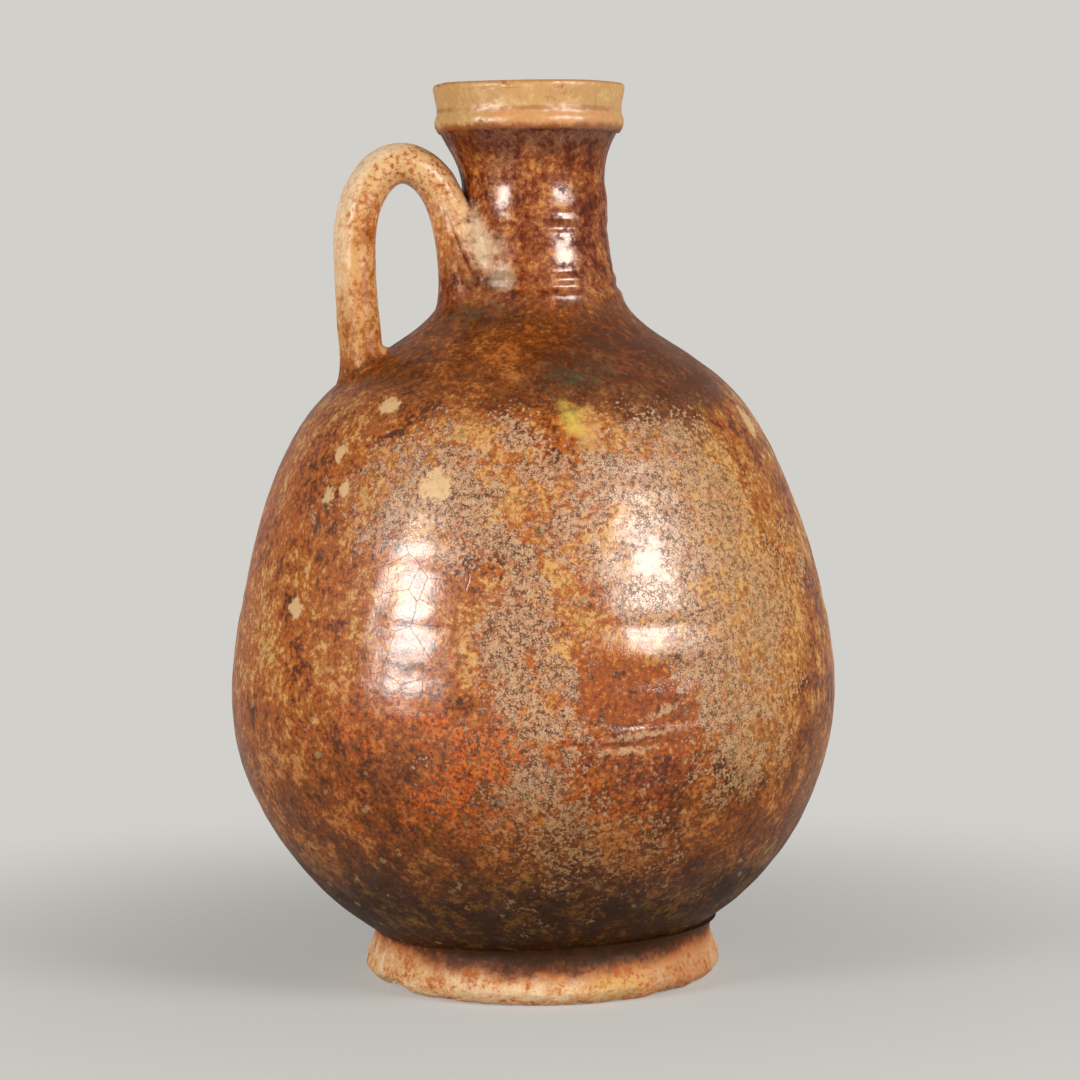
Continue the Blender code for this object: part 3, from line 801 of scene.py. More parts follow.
class Field:
    """A number that varies over a surface; Python's operators on it add Math nodes to its tree."""

    def __init__(self, nodes, socket):
        self.nodes = nodes
        self.socket = socket

    def __add__(self, other):
        return self.nodes.maths("ADD", self, other)

    def __sub__(self, other):
        return self.nodes.maths("SUBTRACT", self, other)

    def __rsub__(self, other):
        return self.nodes.maths("SUBTRACT", other, self)

    def __mul__(self, other):
        return self.nodes.maths("MULTIPLY", self, other)

    def __truediv__(self, other):
        return self.nodes.maths("DIVIDE", self, other)

    __radd__ = __add__
    __rmul__ = __mul__


class Nodes:
    """A node tree under construction."""

    def __init__(self, tree):
        self.tree = tree
        tree.nodes.clear()

    def node(self, kind, settings, sockets):
        """Adds a node: first its settings, a ramp's stops among them, then its sockets' values or links."""
        node = self.tree.nodes.new(kind)
        for name, value in settings.items():
            if name == "stops":
                ramp = node.color_ramp
                while len(ramp.elements) < len(value):
                    ramp.elements.new(1)
                for element, (position, shade) in zip(ramp.elements, value):
                    element.position = position
                    element.color = shade
            else:
                setattr(node, name, value)
        for name, value in sockets.items():
            if isinstance(value, Field):
                self.tree.links.new(value.socket, node.inputs[name])
            elif isinstance(value, bpy.types.NodeSocket):
                self.tree.links.new(value, node.inputs[name])
            else:
                node.inputs[name].default_value = value
        return node

    def maths(self, operation, *values):
        """A Math node as a field."""
        node = self.node("ShaderNodeMath", {"operation": operation}, dict(enumerate(values)))
        return Field(self, node.outputs[0])

    def highest(self, *values):
        """The largest of several fields."""
        return reduce(lambda first, second: self.maths("MAXIMUM", first, second), values)

    def total(self, values):
        """The sum of several fields."""
        return reduce(lambda first, second: self.maths("ADD", first, second), values)

    def seen(self):
        """1 for rays from the camera and for those that a glossy or clear surface sends on, and else 0."""
        rays = self.node("ShaderNodeLightPath", {}, {}).outputs
        kinds = ("Is Camera Ray", "Is Glossy Ray", "Is Transmission Ray")
        return self.highest(*(Field(self, rays[kind]) for kind in kinds))


class Finish(Nodes):
    """A material under construction, with the place on the jug as its starting values."""

    def __init__(self, name):
        self.material = bpy.data.materials.new(name)
        self.material.use_nodes = True
        super().__init__(self.material.node_tree)
        colours = bpy.context.scene.jug_colours
        self.colours = {key: (*getattr(colours, key), 1) for key in colours.__annotations__}
        self.place = self.node("ShaderNodeTexCoord", {}, {}).outputs["Object"]
        axes = self.node("ShaderNodeSeparateXYZ", {}, {0: self.place}).outputs
        self.x, y, self.height = (Field(self, axes[i]) for i in range(3))
        self.turn = self.maths("ARCTAN2", self.x, y * -1) * math.degrees(1)

    def noise(self, grain, detail, roughness, shift=0.0):
        """Fractal noise of 0 to 1 whose largest features measure about a grain, in metres.

        A shift moves the place at which it is read, so that equal noises differ.
        """
        place = self.place
        if shift:
            move = {"Vector": place, "Location": (shift, shift, shift)}
            place = self.node("ShaderNodeMapping", {}, move).outputs[0]
        sockets = {"Vector": place, "Scale": 1 / grain, "Detail": detail, "Roughness": roughness}
        return Field(self, self.node("ShaderNodeTexNoise", {}, sockets).outputs[0])

    def vectors(self, operation, *values, **sockets):
        """A Vector Math node's result."""
        sockets = {**dict(enumerate(values)), **sockets}
        return self.node("ShaderNodeVectorMath", {"operation": operation}, sockets).outputs[0]

    def jumbled(self, grain, amount):
        """The place on the jug, pushed about by noise of a grain by up to about an amount."""
        sockets = {"Vector": self.place, "Scale": 1 / grain, "Detail": 1}
        push = self.node("ShaderNodeTexNoise", {}, sockets).outputs[1]
        level = self.vectors("SUBTRACT", push, (0.5, 0.5, 0.5))
        return self.vectors("ADD", self.place, self.vectors("SCALE", level, Scale=2 * amount))

    def cells(self, size, place):
        """Three random values of each of the cells of a size, in metres."""
        sockets = {"Vector": place, "Scale": 1 / size}
        shade = self.node("ShaderNodeTexVoronoi", {"feature": "F1"}, sockets).outputs["Color"]
        parts = self.node("ShaderNodeSeparateColor", {}, {0: shade}).outputs
        return [Field(self, parts[i]) for i in range(3)]

    def cell_edge(self, size, place):
        """Distance to the nearest edge of such a cell, in shares of its size."""
        sockets = {"Vector": place, "Scale": 1 / size}
        node = self.node("ShaderNodeTexVoronoi", {"feature": "DISTANCE_TO_EDGE"}, sockets)
        return Field(self, node.outputs["Distance"])

    def step(self, value, low, high):
        """Smooth step from 0 where the value is at low to 1 where it is at high."""
        settings = {"interpolation_type": "SMOOTHSTEP"}
        sockets = {"Value": value, "From Min": low, "From Max": high}
        return Field(self, self.node("ShaderNodeMapRange", settings, sockets).outputs[0])

    def ramp(self, value, names, reach=0.125):
        """A ramp through the colours named, spread over the values that a fractal noise takes."""
        names = names.split()
        places = np.linspace(0.5 - reach, 0.5 + reach, len(names)).tolist()
        stops = [(place, self.colours[name]) for place, name in zip(places, names)]
        return self.node("ShaderNodeValToRGB", {"stops": stops}, {0: value}).outputs[0]

    def mix(self, base, other, share):
        """A colour between two, given by name or as sockets, at a share of the second."""
        first, second = (self.colours[c] if isinstance(c, str) else c for c in (base, other))
        sockets = {0: share, 6: first, 7: second}
        return self.node("ShaderNodeMix", {"data_type": "RGBA"}, sockets).outputs[2]

    def lay(self, other, share):
        """Lays a colour over what the finish shows so far, at a share."""
        self.shade = self.mix(self.shade, other, share)

    def near(self, turn, height, half_turn, half_height, fall=0.0):
        """How near a place is: 1 there, 0 at half a turn or half a height from it, negative farther.

        fall is how much lower the middle of the place lies for each degree of turn.
        """
        aside = self.maths("WRAP", self.turn - turn, 180, -180) / half_turn
        above = (self.height - height) / half_height
        if fall:
            above = above + aside * (fall * half_turn / half_height)
        return 1 - self.maths("SQRT", aside * aside + above * above)

    def places(self, *rows):
        """How near the nearest of several places is, each given as for near."""
        return self.highest(*(self.near(*row) for row in rows))

    def loose(self, spot, speck=0, fray=0):
        """Unevenness about 0 that roughens the border of a mask, made of the shared noises."""
        shares = {"spot": spot, "speck": speck, "fray": fray}
        return self.total([(getattr(self, key) - 0.5) * share for key, share in shares.items() if share])

    def patch(self, nearness, ragged, edge):
        """A mask where a nearness is positive, its border frayed by fractal noise."""
        return self.step(nearness + self.loose(0, fray=ragged), -edge, edge)

    def finished(self, roughness, bumps, dull, **constants):
        """Closes the material: a Principled shader, with heights in metres as its bump.

        dull is the share of a second one that hardly mirrors, for worn and thin glaze.
        """
        sockets = {"Strength": 1.0, "Distance": 1.0, "Height": self.total(bumps)}
        bump = self.node("ShaderNodeBump", {}, sockets)
        sockets = {"Base Color": self.shade, "Roughness": roughness, "Normal": bump.outputs[0], **constants}
        bright = self.node("ShaderNodeBsdfPrincipled", {}, sockets)
        worn = self.node("ShaderNodeBsdfPrincipled", {}, {**sockets, "Roughness": 0.6, "IOR": 1.2})
        self.surface(dull, bright, worn)
        return self.material

    def surface(self, share, first, second):
        """Joins two shaders at a share of the second as the material's surface."""
        sockets = {0: share, 1: first.outputs[0], 2: second.outputs[0]}
        blend = self.node("ShaderNodeMixShader", {}, sockets)
        self.node("ShaderNodeOutputMaterial", {}, {"Surface": blend.outputs[0]})


def mottles(f):
    """The noises that the glaze's masks share, coarse to fine, and the grains of its sandy patina."""
    f.fray = f.noise(0.030, 9, 0.70, 9.4)
    f.blotch = f.noise(0.018, 9, 0.68)
    f.spot = f.noise(0.0055, 6, 0.68, 3.1)
    f.speck = f.noise(0.0017, 3, 0.7, 5.9)
    f.tone = f.blotch * 0.65 + f.spot * 0.55 + f.speck * 0.45 - 0.325
    f.ragged = (f.fray - 0.5) * 0.05
    grit = f.jumbled(0.0013, 0.0007)
    f.grains = f.cells(GRAIN, grit)
    f.grain = f.step(f.cell_edge(GRAIN, grit) + f.loose(0, 1.1), -0.03, 0.20)


def body_coat(f):
    """Brown mottles, golden at the right, darker on the shoulder, and darker low on the body, partly as
    painted shade.
    """
    right = f.patch(f.near(62, 0.130, 50, 0.085), 2.5, 0.4)
    f.shade = f.ramp(f.tone, "umber russet amber amber tan pale_tan", 0.112)
    f.lay(f.ramp(f.tone, "umber russet honey gold pale_tan"), right * 0.85)
    f.lay("ember", f.step(f.fray, 0.50, 0.62) * (1 - right) * 0.25)
    # Towards the bottom the glaze darkens: partly its own colour, partly painted shade
    brown = f.ramp(f.tone, "umber loam loam russet amber")
    f.low = f.step(f.height + f.ragged * 0.9, 0.062, 0.034)
    f.lay(brown, f.step(f.height + f.ragged, 0.112, 0.066) * 0.75)
    f.lay(f.ramp(f.tone, "pitch peat peat moss olive"), f.low)
    f.shoulder = f.step(f.height + f.ragged, 0.184, 0.204)
    f.lay(brown, f.shoulder * 0.8)
    f.lay("umber", f.patch(f.near(36, 0.205, 36, 0.016), 3.0, 0.4) * 0.75)


def sandy_coat(f):
    """The curdled sandy patina of pale grains, the red patch that it leaves bare, painted highlights and
    shade on that patch's rings, and the dark gaps.
    """
    pick, hue, odd = f.grains
    brick = f.patch(f.near(8, 0.1035, 14, 0.0145, 0.0007) + f.loose(3.4, 1.6), 2.4, 0.25)
    f.brick = brick * f.step(f.turn + f.loose(6), -5, -4)
    bare = 1 - f.brick
    under = f.patch(f.near(8, 0.084, 13, 0.018) + f.loose(2.2), 2.6, 0.3) * bare
    blots = f.step(f.blotch * 0.35 + f.fray * 0.3 + f.spot * 0.35, 0.495, 0.555)
    tail = f.step(f.near(-3, 0.130, 7, 0.018) + f.loose(4), 0, 0.5)
    spared = (1 - f.highest(blots, tail * 0.8)) * bare * (1 - under * 0.75)
    density = f.step(f.places(*SANDY_PLACES) + f.loose(0, fray=3.5), -0.45, 0.50)
    density = density * f.step(f.height + f.ragged * 0.5, 0.204, 0.184)
    thin = f.step(f.near(-4, 0.070, 26, 0.032) + f.loose(0, fray=3), -0.3, 0.8)
    f.density = f.highest(density, thin * 0.6) * spared
    sandy = f.step(f.density * 1.25 - pick, -0.10, 0.25)
    ochre_side = f.step(f.turn, 8, 48)
    pale = f.mix(f.mix("sand", "sand_grey", f.step(hue, 0.3, 0.9)), "sand_rose", f.step(odd, 0.55, 1))
    pale = f.mix(f.mix(pale, "pale_tan", ochre_side * 0.7), "dust", f.step(f.height, 0.092, 0.058) * 0.65)
    fleck = f.blotch * 0.3 + f.spot * 0.55 + f.speck * 0.8 - 0.325
    red = f.ramp(fleck, "maroon brick brick ember tan", 0.13)
    f.lay(red, f.brick * (0.55 + f.step(f.spot, 0.40, 0.56) * 0.42))
    f.lay(f.ramp(fleck, "umber maroon brick amber"), under * 0.7)
    # Painted highlights on the crests of the rings over the red patch
    f.lay("sand", f.step(f.places(*PAINTED_HIGHLIGHT_CRESTS) + f.loose(2.4, 2.4), -0.1, 0.6) * 0.8)
    # Painted shade in the hollows just above the crests
    f.lay("umber", f.step(f.places(*PAINTED_SHADE_HOLLOWS) + f.loose(1.6), 0, 0.7) * 0.7)
    f.lay(pale, sandy * (0.86 - f.low * 0.3))
    f.lay("gap", (1 - f.grain) * (0.42 + f.density * 0.46) * (1 - ochre_side * 0.25))


def stray_marks(f):
    """The vivid red zone, pale flakes, the yellow drip, and single odd grains."""
    pick, hue, odd = f.grains
    vivid = f.patch(f.near(-31, 0.089, 22, 0.024), 4.0, 0.35) * f.step(f.blotch, 0.42, 0.54)
    f.lay(f.ramp(f.tone, "umber maroon flame amber"), vivid * 0.6)
    f.lay("spark", vivid * f.step(pick, 0.70, 0.80) * f.grain * 0.65)
    f.lay("verdigris", vivid * f.step(hue, 0.80, 0.88) * 0.6)
    f.lay("umber", vivid * f.step(odd, 0.66, 0.76) * 0.55)
    f.flaked = f.step(f.places(*FLAKES) + f.loose(2.2, 0.8), 0, 0.4)
    f.lay("flake", f.flaked * 0.82)
    trail = f.near(1.5, 0.1870, 5.5, 0.0075, 0.0006) + f.loose(2.4)
    drip = f.near(-1.7, 0.1915, 3.8, 0.0056, 0.0003) + f.loose(1.8)
    f.lay("pale_tan", f.step(trail, -0.2, 0.8) * 0.6)
    f.lay("lichen", f.step(drip, -0.2, 0.9) * 0.75)
    patchy, green, rare = f.cells(0.0021, f.jumbled(0.003, 0.002))
    f.lay("ember", f.step(patchy, 0.88, 0.95) * 0.35 * (1 - f.low * 0.7))
    f.lay("verdigris", f.step(green, 0.970, 0.99) * 0.25)
    f.lay("flake", f.step(rare, 0.985, 0.995) * (1 - f.shoulder) * 0.25)


def neck_coat(f):
    """Dark curdled red-brown on the neck, pinkish at its upper left and darkest under the collar."""
    f.neck = f.step(f.height + f.ragged * 0.3, 0.222, 0.233)
    f.curdle = f.noise(0.0065, 7, 0.70, 6.6) * 0.9 + f.speck * 0.5 - 0.2
    shade = f.ramp(f.curdle, "plum maroon maroon rust rust rose tan")
    pinkish = f.near(-40, 0.268, 26, 0.011) + f.loose(4, 4, 3)
    shade = f.mix(shade, "sand_rose", f.step(pinkish, 0, 1) * 0.45)
    shade = f.mix(shade, "plum", f.step(f.height + f.loose(0.024), 0.272, 0.280) * 0.65)
    f.lay(shade, f.neck * 0.92)


def collar_coat(f):
    """Thin ochre glaze on the collar, browner on its lip, in its groove and under its bead."""
    f.collar = f.step(f.height + f.loose(0.002), 0.2838, 0.2846)
    soft = f.blotch * 0.25 + f.spot * 0.35 + f.speck * 0.35 + 0.025
    band = f.ramp(soft, "honey ochre ochre straw straw")
    band = f.mix(band, "strap_brown", f.step(f.height + f.loose(0.003), 0.2986, 0.2996) * 0.6)
    blush = f.step(f.near(14, 0.2875, 60, 0.03) + f.loose(0, fray=5), 0, 0.7)
    blush = blush * f.step(f.height, 0.2915, 0.2895) * f.step(f.spot, 0.36, 0.56)
    band = f.mix(band, "blush", blush * 0.5)
    band = f.mix(band, "russet", f.step(f.height + f.loose(0.007), 0.2870, 0.2846) * 0.9)
    groove = f.step(f.maths("ABSOLUTE", f.height - 0.2908 + f.loose(0.002)), 0.0012, 0.0003)
    f.lay(f.mix(band, "russet", groove * f.step(f.fray, 0.42, 0.56) * 0.5), f.collar)


def strap_coat(f):
    """Tan glaze on the handle, paler along its outer side, partly its glaze and partly painted highlight,
    with painted highlights on its top and on the ridge of the clay smeared at its end.

    Two half ellipses follow the strap's inner and outer edge: a root of squared shares of their half
    axes is 1 on each. The place between the two gives the band of painted highlight.
    """
    sizes = bpy.context.scene.jug_sizes

    def ellipse(half_width, half_height):
        """The root for the half ellipse with these half axes over the arch's springing."""
        aside = (f.x + sizes.crest_reach) / half_width
        above = f.maths("MAXIMUM", f.height - sizes.spring_height, 0) / half_height
        return f.maths("SQRT", aside * aside + above * above)

    f.strap = Field(f, f.node("ShaderNodeAttribute", {"attribute_name": "strap"}, {}).outputs["Fac"])
    streak = f.noise(0.008, 7, 0.70, 12.5) * 0.75 + f.speck * 0.55 - 0.15
    shade = f.ramp(streak, "russet strap_brown strap_brown strap_tan strap_tan")
    # Paler outer side of the strap: partly its glaze, partly painted highlight
    worn = f.ramp(streak, "strap_brown strap_brown strap_tan strap_tan pale_tan")
    from_inner = ellipse(0.0164, 0.0268)
    shade = f.mix(shade, worn, f.step(from_inner + f.loose(1.4), 0.80, 1.30) * 0.85)
    # Painted highlight on the top of the handle, in pale flecks
    painted_crown_highlight = f.step(f.height + f.loose(0.02), 0.256, 0.273)
    shade = f.mix(shade, "flake", painted_crown_highlight * f.step(f.speck, 0.38, 0.54) * 0.75)
    # Band of painted highlight along the strap's outer side, between the two half ellipses
    from_inner = from_inner - 1
    place = from_inner / (from_inner + 1 - ellipse(0.0354, 0.0398))
    pale = f.step(place + f.loose(0.5), 0.28, 0.50) * f.step(place, 0.98, 0.86)
    pale = pale * f.step(f.x, -0.036, -0.052) * f.step(f.height + f.loose(0.04), 0.215, 0.255)
    shade = f.mix(shade, "cream", pale * (0.55 + f.step(f.speck, 0.40, 0.56) * 0.35))
    leg_end = f.step(f.height + f.loose(0.03), 0.232, 0.208) * f.step(f.x, -0.050, -0.056)
    shade = f.mix(shade, f.ramp(streak, "russet rust rose strap_tan"), leg_end * 0.75)
    f.lay(shade, f.step(f.strap + f.loose(1.5), 0.12, 0.75))
    # Painted highlight on the ridge of the clay smeared round the neck
    painted_ridge_highlight = f.near(-52, 0.2468, 27, 0.0085, 0.00048) + f.loose(2.6, 1)
    f.lay("cream", f.step(painted_ridge_highlight, -0.3, 1) * 0.75)


def jug_glaze():
    """The glaze of body, neck, collar and handle, laid out by turn and height."""
    f = Finish(GLAZE_NAME)
    for coat in (mottles, body_coat, sandy_coat, stray_marks, neck_coat, collar_coat, strap_coat):
        coat(f)
    f.lay("verdigris", f.step(f.places(*POOLS) + f.loose(4, 7), 0, 0.9) * 0.5)
    edge = f.cell_edge(0.0125, f.jumbled(0.010, 0.0008))
    crack = f.step(edge, 0.008, 0.002) * f.step(f.near(-33, 0.138, 18, 0.040), 0, 0.3)
    f.lay("umber", crack * 0.8)

    roughness = 0.20 + f.density * 0.07 + f.flaked * 0.15 + f.low * 0.15 + f.strap * 0.12
    roughness = roughness + f.collar * 0.14 + f.loose(0.14) - f.brick * 0.08
    bumps = [
        f.noise(0.0034, 3, 0.55, 14.2) * 0.00008,
        f.grain * (0.00001 + f.density * 0.00002),
        crack * -0.00004,
    ]
    worn = 0.74 - f.step(f.places(*GLOSSY_PLACES) + f.loose(0, fray=1), 0, 0.6) * 0.66 - f.strap * 0.3
    wad = f.step(f.near(-37, 0.2475, 20, 0.0130), 0, 0.4) * 0.9
    under_ring = f.step(f.near(12, 0.1185, 16, 0.0075), 0, 0.5) * 0.38
    curds = f.step(f.curdle, 0.50, 0.43) * f.neck * (1 - f.collar)
    pitted = f.highest((1 - f.grain) * f.density * 0.75, curds)
    shoulder = f.shoulder * (1 - f.neck) * 0.85
    dull = f.highest(f.low * 0.9, shoulder, worn, wad, under_ring, pitted * 0.85)
    return f.finished(roughness, bumps, dull, IOR=1.68, **{"Specular Tint": (1, 0.94, 0.88, 1)})


def foot_clay():
    """Bare clay of the foot: buff with cream and peach patches, and glaze run down over its top."""
    f = Finish("Bare buff clay")
    f.fray = f.noise(0.026, 8, 0.68, 9.4)
    cloud = f.noise(0.014, 8, 0.66, 1.1)
    f.speck = f.noise(0.0013, 3, 0.7, 2.2)
    f.spot = f.noise(0.0045, 5, 0.66, 4.7)
    clay = cloud * 0.5 + f.spot * 0.6 + f.speck * 0.5 - 0.3
    f.shade = f.ramp(clay, "strap_brown peach biscuit biscuit cream cream")
    f.lay("lichen", f.patch(f.near(13, 0.006, 8, 0.005) + f.loose(5), 2.0, 0.4) * 0.32)
    f.lay("cream", f.patch(f.near(-22, 0.004, 20, 0.008) + f.loose(6, 4), 2.0, 0.8) * 0.6)
    f.lay("amber", f.step(f.speck, 0.58, 0.68) * 0.35)
    sides = f.step(f.maths("ABSOLUTE", f.maths("WRAP", f.turn + 14, 180, -180)), 20, 62)
    border = f.height - sides * 0.0044 + (cloud - 0.5) * 0.010 + (f.speck - 0.5) * 0.005
    f.lay("ember", f.step(border, 0.0066, 0.0100) * 0.6)
    f.lay("ember", f.step(f.near(46, 0.010, 26, 0.016) + f.loose(4), -0.2, 0.8) * 0.45)
    glazed = f.step(border, 0.0088, 0.0122)
    f.lay(f.ramp(f.spot, "umber umber russet"), glazed * 0.9)
    f.lay("peat", f.step(border, 0.0112, 0.0150) * 0.85)
    roughness = 0.75 - glazed * 0.25 + (f.speck - 0.5) * 0.3
    bumps = [f.speck * 0.00020, f.spot * 0.0003, cloud * 0.0003]
    return f.finished(roughness, bumps, 0.7, IOR=1.45)


def glaze_material():
    """The jug's glaze, made once and shared by all the glazed pieces."""
    return bpy.data.materials.get(GLAZE_NAME) or jug_glaze()


class JUG_OT_lower_body(bpy.types.Operator):
    """Builds the lower half of the body with its floor"""

    bl_idname = "jug.lower_body"
    bl_label = "Lower body"

    def execute(self, context):
        rings = lower_body_rings(ThrownWall(context.scene.jug_sizes))
        return built("lower_body_skin", rings, "lower_body", poles=True)


class JUG_OT_upper_body(bpy.types.Operator):
    """Builds the upper half of the body with its shoulder"""

    bl_idname = "jug.upper_body"
    bl_label = "Upper body"

    def execute(self, context):
        sizes = context.scene.jug_sizes
        rings = shell_rings(ThrownWall(sizes), sizes.body_seam, sizes.neck_seam)
        return built("upper_body_skin", rings, "upper_body")


class JUG_OT_neck(bpy.types.Operator):
    """Builds the ringed neck"""

    bl_idname = "jug.neck"
    bl_label = "Neck"

    def execute(self, context):
        sizes = context.scene.jug_sizes
        rings = shell_rings(ThrownWall(sizes), sizes.neck_seam, sizes.collar_base)
        return built("neck_skin", rings, "neck")


class JUG_OT_rim_collar(bpy.types.Operator):
    """Builds the collar with its bead, groove and lip"""

    bl_idname = "jug.rim_collar"
    bl_label = "Rim collar"

    def execute(self, context):
        sizes = context.scene.jug_sizes
        return built("rim_collar_skin", collar_rings(sizes, ThrownWall(sizes)), "rim_collar")


class JUG_OT_foot_ring(bpy.types.Operator):
    """Builds the chipped foot ring of bare clay"""

    bl_idname = "jug.foot_ring"
    bl_label = "Foot ring"

    def execute(self, context):
        sizes = context.scene.jug_sizes
        rings = foot_rings(sizes, ThrownWall(sizes))
        return built("foot_ring_skin", rings, "foot_ring", finish=foot_clay())


class JUG_OT_handle(bpy.types.Operator):
    """Builds the pulled strap of the handle"""

    bl_idname = "jug.handle"
    bl_label = "Handle"

    def execute(self, context):
        sizes = context.scene.jug_sizes
        strap = Strap(sizes, ThrownWall(sizes))
        start = strap.run_at(strap.landing + LEG_START, rising=True)
        end = strap.run_at(NECK_END_HEIGHT, rising=False)
        before = [strap.rings(start - beyond, swell) for beyond, swell in STRAP_ENDS]
        after = [strap.rings(end + beyond, swell) for beyond, swell in reversed(STRAP_ENDS)]
        rings = np.concatenate([*before, strap.rings(np.linspace(start, end, STRAP_ROWS)), *after])
        shares = np.ones(len(rings))
        return built("handle_skin", rings, "handle", poles=True, strap=shares)


class JUG_OT_neck_wad(bpy.types.Operator):
    """Builds the clay smeared from the handle round the neck"""

    bl_idname = "jug.neck_wad"
    bl_label = "Neck wad"

    def execute(self, context):
        sizes = context.scene.jug_sizes
        wall = ThrownWall(sizes)
        strap = Strap(sizes, wall)
        end = strap.run_at(NECK_END_HEIGHT, rising=False)
        core = strap.rings(np.linspace(strap.run[-1], end, 5), 0.55)
        degrees = np.degrees(strap.sides)
        lobe = hump(degrees, 226, 64)
        rise = 0.0215 * np.cos(strap.sides) - 0.003 * lobe
        aside = 0.0085 * lobe - 0.0150 * np.sin(strap.sides)
        edge = footprint(wall, NECK_WAD_HEIGHT, rise, aside)
        ridge = RIDGE_RISE * hump(degrees, RIDGE_SIDE, 40)
        rings = root_rings(wall, strap.rings(end)[0], strap.heading(end), edge, (0.8, 0.6), core, ridge)
        shares = fading(0.25, 0.65)
        return built("neck_wad_skin", rings, "handle_neck_wad", strap=shares)


class JUG_OT_shoulder_wad(bpy.types.Operator):
    """Builds the clay pressed round the foot of the handle"""

    bl_idname = "jug.shoulder_wad"
    bl_label = "Shoulder wad"

    def execute(self, context):
        sizes = context.scene.jug_sizes
        wall = ThrownWall(sizes)
        strap = Strap(sizes, wall)
        start = strap.run_at(strap.landing + LEG_START, rising=True)
        core = strap.rings(np.linspace(0, start, 4), 0.6)
        rise = -0.0128 * np.cos(strap.sides) - 0.0010
        edge = footprint(wall, strap.landing, rise, -0.0126 * np.sin(strap.sides))
        rings = root_rings(wall, strap.rings(start)[0], -strap.heading(start), edge, (0.8, 0.9), core)
        shares = fading(0.2, 0.7)
        return built("shoulder_wad_skin", rings, "handle_shoulder_wad", strap=shares)


def stage_floor():
    """A round pale floor that melts into the backdrop with its distance from the jug."""
    turn = all_round(FLOOR_COLUMNS)
    radius = np.linspace(0.01, FLOOR_RADIUS, FLOOR_ROWS)[:, None]
    level = np.full((FLOOR_ROWS, FLOOR_COLUMNS), -FLOOR_GAP)
    top = np.stack([radius * np.sin(turn), -radius * np.cos(turn), level], -1)
    under = top[::-1] - (0, 0, FLOOR_THICKNESS)
    mesh = closed_mesh("floor", np.concatenate([top, under]), poles=True)
    floor = bpy.data.objects.new("floor", mesh)
    bpy.context.scene.collection.objects.link(floor)
    f = Finish("Pale floor")
    cloth = f.node("ShaderNodeBsdfDiffuse", {}, {"Color": f.colours["ground"]})
    glow = f.node("ShaderNodeEmission", {}, {"Color": f.colours["ground"]})
    distance = f.node("ShaderNodeVectorMath", {"operation": "LENGTH"}, {0: f.place}).outputs["Value"]
    far = 0.4 + 0.6 * f.step(distance, 0.10, 0.38)
    f.surface(far * f.seen(), cloth, glow)
    mesh.materials.append(f.material)


def stage_world(scene):
    """Soft light from all round, and the backdrop's colour for the camera and for reflections."""
    world = bpy.data.worlds.new("Studio")
    world.use_nodes = True
    nodes = Nodes(world.node_tree)
    fill = scene.jug_studio.fill
    sockets = {"Color": (*scene.jug_colours.ground, 1), "Strength": nodes.seen() * (1 - fill) + fill}
    backdrop = nodes.node("ShaderNodeBackground", {}, sockets)
    nodes.node("ShaderNodeOutputWorld", {}, {"Surface": backdrop.outputs[0]})
    scene.world = world


def look_from(obj, place, target, roll=0.0):
    """Stands an object at a place, looking along its own -Z at a target, turned about that line."""
    forward = (Vector(target) - Vector(place)).normalized()
    right = forward.cross(Vector((0, 0, 1))).normalized()
    up = right.cross(forward)
    axes = Matrix((right, up, -forward)).transposed().to_4x4()
    obj.matrix_world = Matrix.Translation(place) @ axes @ Matrix.Rotation(roll, 4, "Z")
    bpy.context.scene.collection.objects.link(obj)


def view_place(studio, side_turn, distance, height):
    """A place round the jug: side_turn to the right of the camera's own turn."""
    turn = side_turn - studio.view_turn
    return np.array([distance * math.sin(turn), -distance * math.cos(turn), height])


def stage_lamp(scene, name, side_turn, width, rise, power):
    """A softbox to the side of the camera that looks at the middle of the jug."""
    studio = scene.jug_studio
    lamp = bpy.data.lights.new(name, "AREA")
    lamp.shape = "RECTANGLE"
    lamp.size = width
    lamp.size_y = studio.lamp_height
    lamp.energy = power
    middle = (0, 0, scene.jug_sizes.rim_height / 2)
    height = middle[2] + studio.lamp_distance * math.sin(rise)
    place = view_place(studio, side_turn, studio.lamp_distance * math.cos(rise), height)
    look_from(bpy.data.objects.new(name, lamp), place, middle)


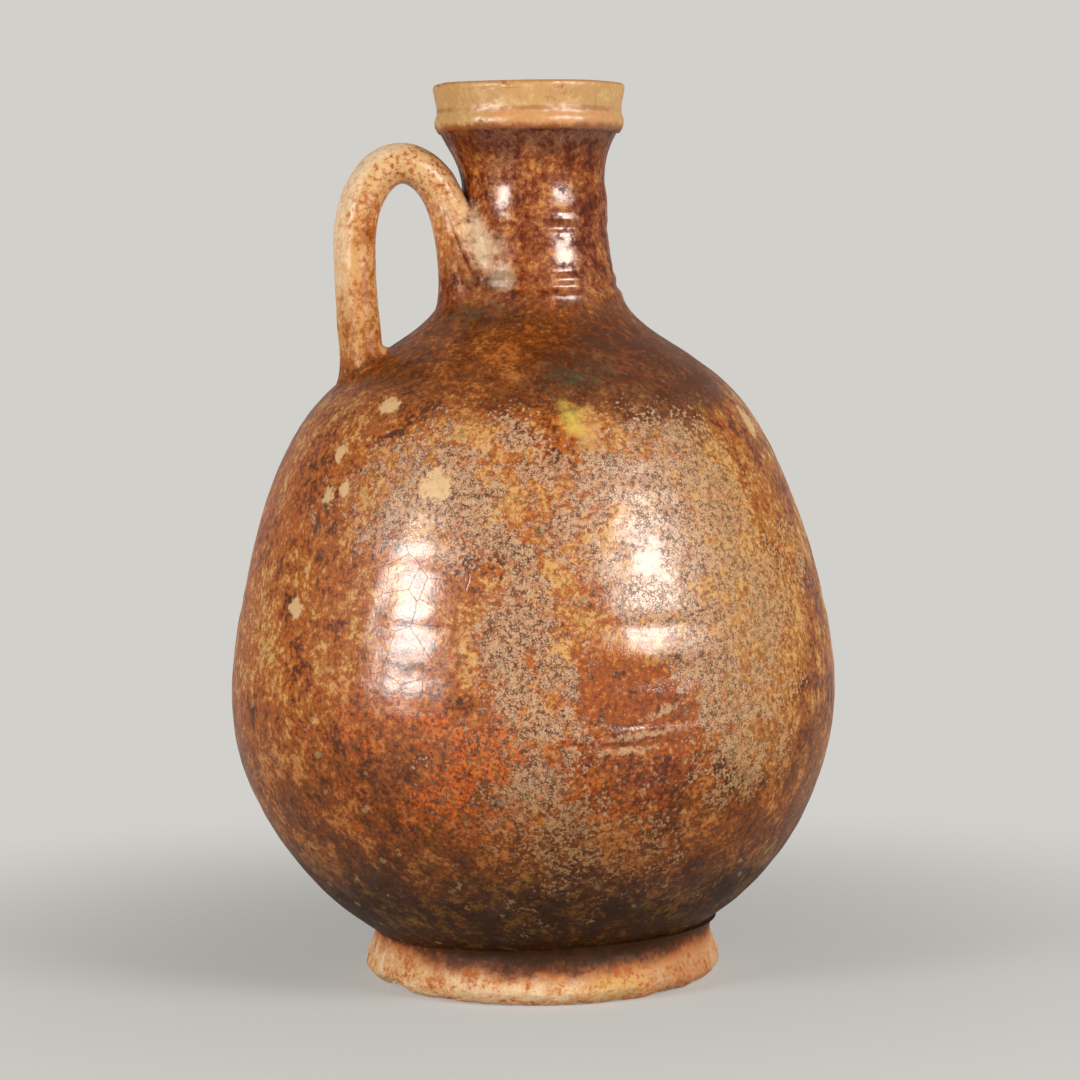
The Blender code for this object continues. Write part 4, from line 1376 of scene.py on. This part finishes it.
def stage_camera(scene):
    """The camera that sees the jug as the photograph does."""
    studio = scene.jug_studio
    camera = bpy.data.objects.new("Camera", bpy.data.cameras.new("Camera"))
    camera.data.lens = studio.focal_length
    camera.data.sensor_width = 36
    ahead = -view_place(studio, 0, 1, 0)
    right = np.array([ahead[1], -ahead[0], 0])
    place = view_place(studio, 0, studio.view_distance, studio.view_height) + right * studio.view_sideways
    target = place + ahead * math.cos(studio.view_pitch) - (0, 0, math.sin(studio.view_pitch))
    look_from(camera, place, target, -studio.view_roll)
    scene.camera = camera


class JUG_OT_stage(bpy.types.Operator):
    """Sets up the floor, the backdrop, two softboxes and the camera"""

    bl_idname = "jug.stage"
    bl_label = "Stage"

    def execute(self, context):
        scene = context.scene
        studio = scene.jug_studio
        power = studio.lamp_power
        stage_floor()
        stage_world(scene)
        stage_lamp(scene, "Left softbox", -studio.lamp_turn, studio.left_width, studio.left_rise, power)
        power = power * studio.right_gain
        stage_lamp(scene, "Right softbox", studio.lamp_turn, studio.right_width, studio.right_rise, power)
        stage_camera(scene)
        scene.view_settings.view_transform = "Standard"
        return {"FINISHED"}


class JUG_PT_sidebar(bpy.types.Panel):
    """Lists the jug's pieces, its sizes and its colours"""

    bl_idname = "JUG_PT_sidebar"
    bl_label = "Glazed jug"
    bl_space_type = "VIEW_3D"
    bl_region_type = "UI"
    bl_category = "Jug"

    def draw(self, context):
        layout = self.layout
        for operator in OPERATORS:
            layout.operator(operator.bl_idname)
        for group in (context.scene.jug_sizes, context.scene.jug_colours, context.scene.jug_studio):
            box = layout.box()
            for name in group.__annotations__:
                box.prop(group, name)


GROUPS = {"jug_sizes": JugSizes, "jug_colours": JugColours, "jug_studio": JugStudio}
OPERATORS = (
    JUG_OT_foot_ring,
    JUG_OT_lower_body,
    JUG_OT_upper_body,
    JUG_OT_neck,
    JUG_OT_rim_collar,
    JUG_OT_handle,
    JUG_OT_neck_wad,
    JUG_OT_shoulder_wad,
    JUG_OT_stage,
)
CLASSES = (*GROUPS.values(), *OPERATORS, JUG_PT_sidebar)


def register():
    for cls in CLASSES:
        bpy.utils.register_class(cls)
    for name, group in GROUPS.items():
        setattr(bpy.types.Scene, name, PointerProperty(type=group))


def unregister():
    for name in GROUPS:
        delattr(bpy.types.Scene, name)
    for cls in reversed(CLASSES):
        bpy.utils.unregister_class(cls)


def main():
    register()
    for operator in OPERATORS:
        family, name = operator.bl_idname.split(".")
        getattr(getattr(bpy.ops, family), name)()


if __name__ == "__main__":
    main()
